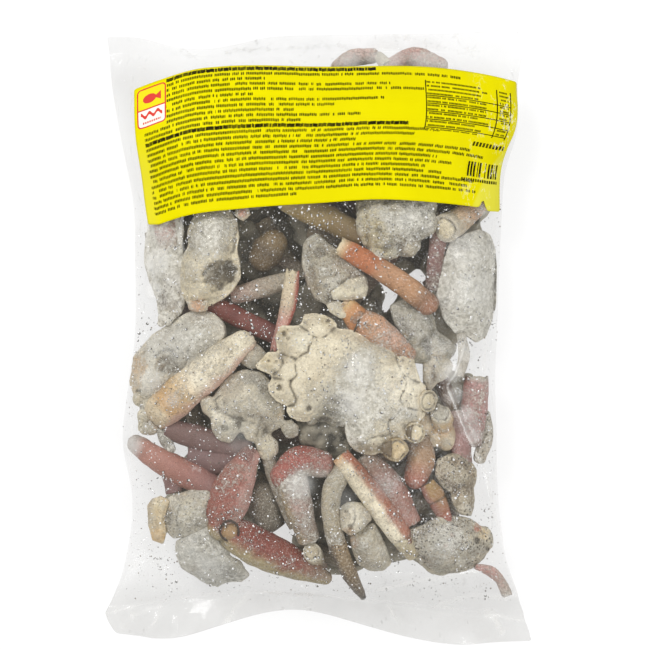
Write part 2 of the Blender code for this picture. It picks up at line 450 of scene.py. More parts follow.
def fuseBody(name, tint, lumps=(), plates=(), apart=False, voxel=1.15, frost=0.2, speck=0.0, dents=(),
             bumps=0.9, grit=0.35, patches=(), cracks=(), soft=2, stainCount=12):
    # dents: (x, y, radius, depth). patches: (x, y, radius, colour, strength). cracks: (line, width, depth)
    pieces = [addLump(*lump) for lump in lumps] + [addPlate(*plate, voxel=voxel) for plate in plates]
    body = joinAll(pieces, name)
    if not apart:
        modify(body, "REMESH", mode="VOXEL", voxel_size=voxel * mm, use_smooth_shade=True)
        modify(body, "SMOOTH", factor=0.5, iterations=soft)
    where = spots(body)
    # Dents and cracks are painted darker where they sink in, as painted shade.
    dentAndCrackShade = np.zeros(len(where))
    topSide = softStep(where[:, 2] - fronts(where), *topDepth)
    for x, y, radius, depth in dents:
        gap = roundGap(where, onFront(x, y), radius) + rough(where, 2.6 * mm, x) * 0.4
        share = (1 - softStep(gap, 0.5, 1.05)) * topSide
        where[:, 2] -= share * depth * mm
        dentAndCrackShade = np.maximum(dentAndCrackShade, share * min(1.0, depth / 3))
    for line, wide, depth in cracks:
        gap = toLine(where, line) + rough(where, 2.5 * mm, 4) * 0.35 * mm
        uneven = np.clip(0.75 + rough(where, 3.2 * mm, 6) * 1.4, 0.2, 1)
        share = np.exp(-((gap / (wide * mm)) ** 2)) * topSide * uneven
        where[:, 2] -= share * depth * mm
        dentAndCrackShade = np.maximum(dentAndCrackShade, share * 0.9)
    moveSpots(body, where)
    modify(body, "DISPLACE", texture=clouds["broad"], strength=bumps * mm, texture_coords="GLOBAL")
    # Painted shade in the hollows and a painted highlight on the ridges, from how far each vertex lies inside
    # the smoothed skin.
    reliefShadeAndJoints = np.clip(hollowness(body) / (0.5 * mm), -1, 1)
    modify(body, "DISPLACE", texture=clouds["grit"], strength=grit * mm, texture_coords="GLOBAL")
    where = spots(body)
    tints = np.tile(rgb(*tint), (len(where), 1))
    pick = random.Random(name)
    low, high = where.min(0), where.max(0)
    for _ in range(stainCount):
        middle = Vector((pick.uniform(low[0], high[0]), pick.uniform(low[1], high[1])))
        colour, radius = pick.choice(stains["shades"]), pick.uniform(*stains["radius"])
        strength = pick.uniform(*stains["strength"])
        tints = blend(tints, colour, stainWeight(where, middle, radius, pick.uniform(0, 9)) * strength)
    for x, y, radius, colour, strength in patches:
        tints = blend(tints, colour, stainWeight(where, onFront(x, y), radius, x) * strength)
    setTints(body, tints)
    setValues(body, "reliefShadeAndJoints", np.where(dentAndCrackShade > 0.05, np.maximum(reliefShadeAndJoints, dentAndCrackShade), reliefShadeAndJoints))
    setValues(body, "frost", frost)
    setValues(body, "speck", speck)
    return body


def toLine(where, line):
    # distance on the plan from each spot to a line drawn on the sheet
    points = [np.array(onFront(x, y).xy) for x, y in line]
    best = np.full(len(where), 1.0)
    for a, b in zip(points, points[1:]):
        best = np.minimum(best, segmentGap(where, a, b))
    return best


clouds = {"broad": cloudTexture("broad", 8 * mm), "grit": cloudTexture("grit", 1.6 * mm)}

cream = (226, 215, 188)

# A lump is (x, y, sink, long, wide, thick, turn), a plate (outline, sink, thick, crown, slope, grow), the
# last three with defaults. Places are on the sheet, sizes in mm, and sink is how far the top lies under the
# bag's front.
bodySpecs = {
    "hero": dict(voxel=0.66, tint=cream, frost=0.06, bumps=0.8, grit=0.22, apart=True, stainCount=3,
        plates=[([(304, 315), (313, 314), (325, 316), (332, 320), (336, 325), (335, 329), (344, 330),
        (352, 331), (360, 335), (367, 338), (377, 343), (386, 348), (394, 352), (397, 358), (403, 357),
        (413, 357), (415, 365), (420, 382), (426, 387), (426, 396), (427, 411), (424, 418), (419, 423),
        (410, 430), (409, 440), (399, 439), (391, 441), (386, 455), (380, 452), (374, 455), (363, 454),
        (355, 450), (349, 443), (346, 432), (346, 416), (344, 408), (336, 405), (327, 409), (317, 417),
        (308, 421), (298, 421), (290, 417), (287, 411), (288, 406), (277, 401), (270, 394), (268, 386),
        (272, 380), (272, 375), (266, 372), (257, 368), (256, 366), (262, 360), (268, 353), (276, 353),
        (280, 354), (277, 346), (276, 338), (279, 329), (282, 326), (294, 327), (300, 326), (303, 322)],
        0.2, 21, 4.6, 7, 0.5)],
        dents=[(309, 409, 2.0, 1.8), (355, 427, 1.5, 2.2), (358, 433, 1.8, 2.8), (374, 404, 0.8, 0.8),
        (284, 333, 1.6, 2.2), (288, 338, 1.2, 1.2), (279, 388, 1.9, 2.6), (283, 391, 1.2, 1.2),
        (269, 361, 1.2, 1.2), (328, 321, 1.4, 1.0), (276, 362, 1.0, 0.8), (403, 361, 1.0, 0.8),
        (412, 398, 0.8, 0.5)],
        cracks=[([(300, 326), (309, 332), (313, 337), (312, 342), (309, 347), (308, 352), (302, 355),
        (296, 359), (290, 357), (281, 354)], 0.45, 1.5), ([(313, 337), (319, 338), (325, 337), (331, 332),
        (335, 328)], 0.55, 1.2), ([(296, 359), (295, 367), (297, 375), (291, 381), (290, 386), (293, 392),
        (296, 399), (294, 405), (288, 407)], 0.55, 1.5), ([(281, 355), (283, 363), (279, 370), (274, 375)],
        0.55, 1.2), ([(273, 378), (284, 380), (291, 381)], 0.6, 1.5), ([(395, 353), (397, 360), (400, 368),
        (404, 375), (411, 379), (419, 383)], 0.55, 1.4), ([(404, 375), (407, 380), (406, 388), (401, 396),
        (400, 400), (404, 407), (411, 409), (426, 412)], 0.5, 1.2), ([(402, 409), (396, 417), (389, 421),
        (388, 431), (392, 436)], 0.5, 1.2), ([(371, 438), (378, 436), (385, 436), (391, 434)], 0.6, 1.4),
        ([(354, 445), (363, 444), (371, 439)], 0.5, 1.0), ([(311, 391), (314, 392)], 0.4, 0.6),
        ([(377, 343), (383, 349), (391, 355)], 0.4, 0.4), ([(395, 421), (404, 424), (410, 431)], 0.5, 0.8)],
        patches=[(366, 335, 5, (208, 184, 148), 0.5), (365, 451, 5, (158, 142, 116), 0.8),
        (376, 450, 3, (176, 160, 132), 0.6), (283, 332, 3, (190, 172, 132), 0.7),
        (268, 361, 4, (204, 188, 150), 0.7), (327, 321, 3.4, (196, 180, 144), 0.6),
        (300, 341, 5, (228, 222, 200), 0.6), (337, 404, 7, (180, 175, 162), 0.6),
        (320, 400, 9, (198, 193, 176), 0.6), (412, 415, 3.5, (206, 204, 194), 0.8),
        (396, 388, 12, (244, 236, 214), 0.9), (412, 396, 6, (240, 231, 206), 0.8)]),
    # The next two lumps, under and beside the hero's lower edge, are tinted dark as painted shade.
    "heroShade": dict(voxel=0.9, stainCount=0, tint=(118, 112, 97), frost=0.1, bumps=2.6, grit=0.9,
        plates=[([(300, 412), (316, 406), (330, 400), (344, 404), (350, 416), (348, 426), (334, 424),
        (322, 420), (310, 424)], 4.2, 8, 2.5, 4)],
        patches=[(326, 417, 6, (84, 80, 69), 0.8), (340, 414, 4, (150, 146, 134), 0.6)]),
    "heroBay": dict(stainCount=0, tint=(50, 46, 37), frost=-0.25, bumps=2.4, grit=0.8,
        lumps=[(322, 428, 8.5, 26, 26, 14, 20), (334, 442, 11, 20, 18, 12)],
        patches=[(330, 440, 7, (50, 48, 41), 0.8)]),
    "eggBody": dict(tint=(230, 218, 188), frost=0.14, bumps=0.8, grit=0.3, apart=True,
        plates=[([(189, 246), (188, 232), (193, 218), (203, 208), (216, 206), (228, 210), (235, 222),
        (237, 236), (235, 249), (238, 262), (239, 276), (232, 288), (223, 297), (211, 303), (198, 308),
        (189, 305), (182, 293), (179, 276), (182, 258)], 1.2, 21, 6.5, 11)],
        dents=[(212, 277, 4.6, 2.2), (224, 274, 6.0, 3.0), (231, 270, 3.2, 2.6), (193, 281, 1.2, 0.4),
        (220, 286, 2.6, 1.4), (229, 262, 2.0, 2.0), (234, 240, 1.6, 1.2)],
        cracks=[([(203, 275), (206, 269), (212, 265), (220, 262), (234, 263)], 0.7, 2.4),
        ([(206, 282), (214, 287), (226, 284), (233, 278)], 0.5, 1.2), ([(186, 280), (194, 282), (202, 281)],
        0.4, 0.6), ([(237, 226), (234, 238), (233, 250), (227, 257)], 0.7, 1.2),
        ([(203, 280), (212, 291), (224, 288)], 0.5, 0.8)],
        patches=[(219, 274, 7.4, (138, 126, 102), 1.0), (230, 270, 3.4, (104, 94, 74), 0.9),
        (198, 306, 4.2, (206, 158, 112), 0.8), (210, 273, 2.0, (206, 200, 182), 0.8),
        (222, 277, 1.8, (184, 172, 142), 0.8), (208, 284, 2.4, (192, 178, 148), 0.6),
        (206, 252, 6, (214, 208, 188), 0.4), (212, 226, 8, (204, 198, 182), 0.6)]),
    "eggBits": dict(voxel=0.7, tint=(206, 186, 158), frost=0.25, bumps=1.2, grit=0.6,
        plates=[([(188, 301), (198, 303), (208, 301), (207, 309), (196, 311), (189, 308)], 2.6, 5, 1.2, 2),
        ([(237, 208), (246, 207), (249, 214), (243, 220), (236, 216)], 2.0, 6, 1.4, 2)],
        patches=[(196, 306, 4, (208, 150, 106), 0.9), (242, 212, 2.2, (190, 96, 70), 0.8)]),
    "frostedColumn": dict(tint=(206, 200, 186), frost=0.7, bumps=1.6, grit=0.4,
        plates=[([(148, 216), (160, 210), (176, 214), (182, 228), (181, 246), (184, 262), (182, 280),
        (184, 298), (180, 312), (170, 320), (160, 316), (157, 298), (150, 282), (144, 262), (146, 240)],
        3.6, 17, 5, 8)],
        patches=[(170, 303, 8, (136, 118, 110), 1.0), (174, 283, 6, (142, 120, 114), 0.9),
        (168, 228, 6, (192, 160, 148), 0.8), (180, 232, 4, (140, 138, 130), 0.8),
        (152, 258, 4, (210, 200, 176), 0.5)]),
    "iceCluster": dict(voxel=0.7, tint=(214, 214, 208), frost=0.9, bumps=2.2, grit=1.0,
        lumps=[(163, 317, 4.0, 5, 4, 4), (168, 321, 4.4, 5, 5, 4, 30), (161, 323, 4.6, 4, 4, 4),
        (166, 312, 3.8, 4, 3, 4), (172, 316, 4.4, 4, 4, 4)]),
    "leftBody": dict(tint=(238, 232, 217), frost=0.35, bumps=1.7, grit=0.5,
        plates=[([(127, 373), (130, 361), (141, 348), (154, 335), (170, 325), (185, 316), (197, 311),
        (212, 315), (223, 324), (226, 334), (213, 350), (196, 361), (176, 380), (168, 390), (150, 399),
        (138, 402), (131, 392), (127, 382)], 2.2, 18, 6, 11)],
        dents=[(170, 364, 6.5, 1.8), (138, 392, 1.6, 1.6)],
        cracks=[([(155, 356), (164, 350), (176, 350), (186, 356)], 0.8, 0.5),
        ([(188, 350), (186, 362), (180, 372)], 0.7, 0.8)],
        patches=[(150, 346, 6, (246, 241, 228), 0.9), (136, 366, 6, (208, 178, 138), 1.0),
        (133, 384, 5, (206, 178, 134), 0.8), (163, 364, 5, (158, 140, 114), 0.9),
        # The grey patch at (175, 372) is painted shade.
        (175, 372, 6, (156, 150, 136), 0.8), (200, 318, 7, (180, 170, 150), 0.7),
        (182, 346, 9, (222, 217, 204), 0.7), (140, 350, 4, (190, 170, 138), 0.7)]),
    "leftKnobs": dict(tint=(196, 186, 160), frost=0.3,
        lumps=[(139, 399, 5, 7, 8, 7), (150, 404, 5, 9, 7, 8), (146, 415, 5.5, 10, 8, 8, 20),
        (149, 427, 7, 12, 9, 8, 0)],
        patches=[(158, 424, 5, (170, 118, 100), 0.8), (147, 430, 4, (150, 146, 134), 0.8)]),
    "middleBody": dict(tint=(192, 182, 160), frost=0.3, bumps=1.4, grit=0.5,
        plates=[([(214, 398), (222, 386), (231, 376), (244, 371), (262, 374), (272, 386), (279, 398),
        (283, 410), (281, 425), (270, 432), (255, 430), (240, 427), (222, 421), (212, 412)], 2.8, 20, 7,
        12), ([(210, 411), (222, 412), (234, 420), (237, 432), (230, 443), (219, 440), (213, 432)], 4.2, 12,
        2.4, 4), ([(243, 415), (258, 415), (263, 428), (259, 440), (248, 441), (242, 430)], 4.6, 12, 2.4,
        4), ([(258, 436), (270, 436), (277, 444), (276, 453), (269, 461), (261, 457), (257, 448)], 5.2, 10,
        2.0, 4), ([(200, 398), (210, 398), (214, 408), (210, 417), (203, 411)], 5.5, 9, 1.8, 3),
        ([(283, 424), (291, 421), (298, 427), (297, 436), (288, 438), (283, 431)], 6, 8, 3, 4), ],
        dents=[(223, 429, 2.6, 1.4), (224, 404, 1.0, 0.8)],
        cracks=[([(212, 410), (222, 414), (236, 419), (243, 421), (256, 424), (266, 432)], 0.6, 1.2),
        ([(217, 407), (214, 400), (220, 396)], 0.4, 0.8), ([(262, 418), (258, 430), (256, 438)], 0.6, 0.9)],
        patches=[(271, 396, 8, (160, 153, 134), 0.7), (290, 430, 4.5, (146, 136, 114), 0.9),
        (223, 428, 3, (196, 192, 176), 0.8), (224, 416, 7, (250, 243, 224), 0.9),
        (244, 394, 9, (166, 160, 146), 0.8), (262, 385, 7, (150, 146, 134), 0.8),
        (240, 396, 10, (204, 194, 172), 0.7), (250, 374, 6, (158, 154, 144), 0.7),
        (216, 400, 4, (216, 208, 186), 0.7), (250, 434, 4, (218, 206, 178), 0.8),
        (266, 450, 4, (220, 208, 176), 0.8), (236, 428, 6, (190, 186, 172), 0.7)]),
    "frostedBody": dict(tint=(159, 147, 124), frost=0.38, speck=1.0, bumps=1.5, grit=0.5,
        plates=[([(303, 262), (305, 242), (316, 234), (327, 244), (344, 257), (357, 270), (366, 280),
        (366, 294), (354, 299), (341, 302), (330, 304), (317, 299), (309, 286)], 3.0, 19, 5, 9)],
        dents=[(319, 252, 3.5, 1.2), (326, 286, 1.2, 1.2)],
        cracks=[([(331, 292), (340, 284), (350, 277)], 0.7, 1.2), ([(328, 300), (342, 299), (352, 297)],
        0.5, 1.4)],
        patches=[(318, 248, 8, (142, 132, 112), 0.6), (346, 272, 5, (170, 158, 134), 0.5)]),
    "frostedPlates": dict(voxel=0.8, tint=(214, 205, 180), frost=0.15, grit=0.3, bumps=0.6, apart=True,
        plates=[([(332, 293), (349, 281), (364, 277), (367, 287), (365, 296), (345, 299), (333, 298)], 1.4,
        8, 1.6, 3), ([(327, 305), (339, 302), (345, 307), (350, 316), (341, 317), (331, 311)], 2.6, 8, 1.4,
        3), ([(343, 302), (352, 300), (354, 309), (350, 314)], 3.0, 7, 1.4, 2.5), ],
        dents=[(354, 290, 0.8, 0.6)],
        patches=[(349, 308, 4, (204, 158, 108), 0.8)]),
    "icyBody": dict(tint=(180, 172, 148), frost=0.28, speck=0.8, bumps=4.2, grit=1.1,
        plates=[([(358, 202), (372, 196), (400, 194), (436, 198), (434, 214), (431, 231), (420, 239),
        (412, 246), (400, 249), (385, 252), (372, 250), (365, 244), (359, 233), (357, 219)], 1.2, 19, 5,
        9)],
        lumps=[(378, 253, 3.0, 12, 9, 9, 20), (391, 252, 3.6, 10, 9, 8), (408, 247, 4.0, 14, 10, 9, 20),
        (426, 222, 2.6, 12, 14, 10), (364, 224, 2.4, 9, 16, 10)],
        patches=[(374, 222, 9, (174, 160, 120), 1.0), (379, 254, 5, (206, 190, 146), 0.9),
        (409, 247, 6, (156, 140, 114), 0.8), (420, 212, 9, (216, 214, 206), 0.9),
        (398, 224, 7, (208, 204, 192), 0.7), (372, 236, 6, (160, 146, 108), 0.9),
        (390, 206, 6, (146, 132, 98), 0.8), (384, 213, 4, (232, 228, 216), 0.8),
        (408, 222, 5, (234, 232, 224), 0.8), (399, 233, 4, (226, 218, 194), 0.7),
        (422, 226, 4, (228, 226, 216), 0.8), (412, 234, 5, (160, 150, 128), 0.5),
        (374, 205, 8, (192, 182, 150), 0.6)]),
    "smoothLump": dict(tint=(200, 199, 191), frost=0.6, bumps=1.6, grit=0.4, apart=True,
        plates=[([(466, 235), (480, 230), (490, 235), (496, 248), (497, 268), (496, 306), (492, 321),
        (487, 334), (477, 342), (468, 334), (457, 333), (445, 317), (438, 299), (438, 280), (446, 257),
        (452, 244)], 2.2, 22, 8, 13)],
        patches=[(472, 334, 4, (204, 178, 156), 0.5), (447, 285, 6, (190, 184, 170), 0.6),
        (456, 262, 6, (178, 172, 156), 0.4), (470, 312, 13, (230, 227, 216), 0.8)]),
    "greyLump": dict(tint=(142, 137, 122), frost=0.3, bumps=1.4,
        plates=[([(391, 306), (404, 300), (416, 302), (428, 306), (436, 326), (434, 339), (421, 352),
        (413, 354), (406, 338), (395, 320)], 8, 16, 5, 8), ([(423, 334), (436, 332), (448, 340), (457, 348),
        (450, 359), (438, 362), (426, 360)], 9, 12, 4, 7), ([(404, 344), (424, 340), (431, 352), (427, 363),
        (414, 362), (408, 355)], 9.5, 12, 4, 5)],
        patches=[(414, 322, 6, (164, 160, 148), 0.6), (428, 344, 5, (130, 124, 110), 0.7)]),
    "backLeg": dict(tint=(204, 194, 178), frost=0.3,
        plates=[([(430, 357), (449, 359), (453, 366), (447, 376), (440, 382), (433, 374)], 9.5, 10, 3, 4),
        ([(424, 362), (432, 364), (436, 384), (430, 392), (424, 382)], 10, 8, 2, 3)],
        patches=[(428, 380, 4, (150, 138, 124), 0.9), (430, 366, 4, (176, 160, 140), 0.5)]),
    "speckledBody": dict(tint=(130, 116, 94), frost=0.05, speck=1.8, bumps=1.6, grit=0.7,
        plates=[([(438, 461), (452, 455), (466, 458), (476, 471), (476, 484), (466, 492), (452, 492),
        (442, 486), (437, 474)], 3.6, 17, 5, 8), ([(452, 482), (472, 482), (474, 500), (471, 516),
        (461, 514), (453, 502)], 5.5, 13, 3.5, 6)],
        patches=[(450.3, 456, 0.8, (58, 52, 44), 0.9), (456, 456.5, 0.8, (58, 52, 44), 0.9),
        (461.5, 459, 0.8, (58, 52, 44), 0.9), (465, 463, 0.9, (58, 52, 44), 0.9),
        (468.5, 468, 0.8, (58, 52, 44), 0.9), (460.8, 465, 0.7, (58, 52, 44), 0.9),
        (450.3, 462, 0.8, (58, 52, 44), 0.9), (446.7, 468, 0.7, (58, 52, 44), 0.9),
        (464.3, 478, 0.8, (58, 52, 44), 0.9), (444, 482, 5, (124, 112, 96), 0.7),
        (466, 466, 6, (160, 146, 124), 0.5)]),
    "cornerBody": dict(tint=(198, 191, 174), frost=0.4, speck=0.6, bumps=1.1,
        plates=[([(168, 499), (190, 492), (209, 486), (214, 500), (210, 524), (190, 534), (172, 539),
        (165, 530), (164, 514)], 2.0, 16, 4.5, 8)],
        cracks=[([(180, 505), (176, 516), (178, 528)], 0.6, 0.5)],
        # The dark patches at (168, 515) and (168, 524) beside the tip, and the grey ones at (201, 521) and
        # (178, 530) low on the body, are painted shade.
        patches=[(186, 508, 5, (226, 218, 194), 0.9), (168, 515, 2.2, (116, 108, 94), 0.8),
        (168, 524, 2.0, (126, 118, 104), 0.7), (201, 521, 6, (156, 152, 138), 0.8),
        (178, 530, 4, (168, 162, 146), 0.7)]),
    "cornerTip": dict(voxel=0.8, tint=(202, 180, 140), frost=0.15, grit=0.3, bumps=0.6, apart=True,
        plates=[([(148, 507), (152, 501), (160, 498), (168, 501), (165, 510), (163, 521), (165, 532),
        (162, 543), (153, 540), (149, 525)], 2.4, 12, 2.2, 3)],
        patches=[(158, 536, 4, (206, 166, 104), 0.9), (158, 503, 3, (222, 206, 168), 0.7)]),
    "dottedBody": dict(tint=(164, 154, 134), frost=0.28, speck=2.0, bumps=2.2, grit=0.9,
        plates=[([(410, 531), (424, 527), (434, 521), (450, 518), (466, 519), (477, 526), (487, 531),
        (493, 541), (489, 553), (477, 566), (461, 573), (441, 576), (429, 572), (421, 563), (411, 548)],
        1.8, 17, 5, 9)],
        lumps=[(486, 538, 3.0, 8, 13, 11, 0)],
        dents=[(477, 541, 1.8, 2.2), (487, 549, 1.8, 1.6), (424, 558, 1.2, 1.2)],
        patches=[(485, 534, 3.6, (218, 196, 156), 0.95), (478, 528, 2.4, (186, 96, 66), 0.8),
        (452, 535, 0.9, (190, 90, 70), 0.9), (446, 546, 0.8, (196, 92, 72), 0.9),
        (454, 537, 0.7, (180, 84, 66), 0.9), (430, 560, 5, (136, 122, 102), 0.8),
        (420, 540, 4, (150, 138, 118), 0.6), (446, 538, 7, (206, 204, 194), 0.6),
        (470, 558, 6, (168, 160, 144), 0.6), (440, 566, 5, (160, 154, 140), 0.6),
        (487, 550, 3, (168, 158, 138), 0.7)]),
    "armKnob": dict(tint=(150, 143, 128), frost=0.3, bumps=1.6, grit=0.5,
        plates=[([(240, 348), (250, 342), (260, 347), (267, 356), (262, 366), (250, 368), (241, 360)], 5.5,
        10, 3, 5)],
        patches=[(255, 362, 4, (120, 112, 98), 0.8)]),
    "stumpBody": dict(tint=(222, 214, 194), frost=0.25, voxel=0.9, bumps=1.8, grit=0.8,
        plates=[([(342, 508), (350, 504), (358, 505), (368, 511), (371, 519), (365, 526), (360, 530),
        (350, 535), (343, 530), (340, 519)], 2.2, 12, 2.6, 4)],
        dents=[(351, 527, 2.0, 1.2), (346, 512, 1.2, 0.8)],
        cracks=[([(352, 508), (356, 516), (354, 524), (348, 533)], 0.4, 0.6)],
        patches=[(348, 533, 3, (190, 150, 108), 0.7)]),
    "stumpLimb": dict(tint=(184, 174, 152), frost=0.35,
        plates=[([(351, 536), (362, 530), (374, 522), (379, 534), (384, 546), (391, 564), (384, 571),
        (372, 572), (359, 565), (353, 549)], 4.2, 15, 4.5, 7)],
        patches=[(352, 542, 3.5, (190, 140, 100), 0.8), (370, 562, 6, (170, 156, 134), 0.6)]),
    "iceSlab": dict(tint=(214, 213, 206), frost=0.6, stainCount=3, bumps=0.8, grit=0.15,
        plates=[([(177, 541), (190, 536), (206, 541), (221, 553), (240, 562), (248, 577), (241, 583),
        (224, 583), (217, 590), (204, 584), (195, 576), (182, 568), (177, 554)], 4.5, 9, 2.6, 5),
        ([(184, 532), (206, 520), (217, 520), (224, 536), (230, 552), (218, 560), (200, 552), (186, 546)],
        6.5, 8, 2.6, 5)],
        patches=[(232, 573, 6, (104, 102, 96), 0.9), (230, 560, 8, (138, 135, 124), 0.9),
        (190, 556, 7, (222, 222, 216), 0.8), (212, 548, 8, (166, 160, 142), 0.7),
        (212, 578, 5, (176, 174, 164), 0.7)]),
    "ringRoot": dict(tint=(186, 160, 124), frost=0.1,
        lumps=[(444, 434, 7.0, 12, 18, 12, 10), (434, 436, 8, 10, 12, 10), (424, 424, 8, 10, 14, 10, 30)],
        patches=[(447, 428, 4, (200, 152, 98), 0.9)]),
}

bodyPieces = [fuseBody(name, **spec) for name, spec in bodySpecs.items()]

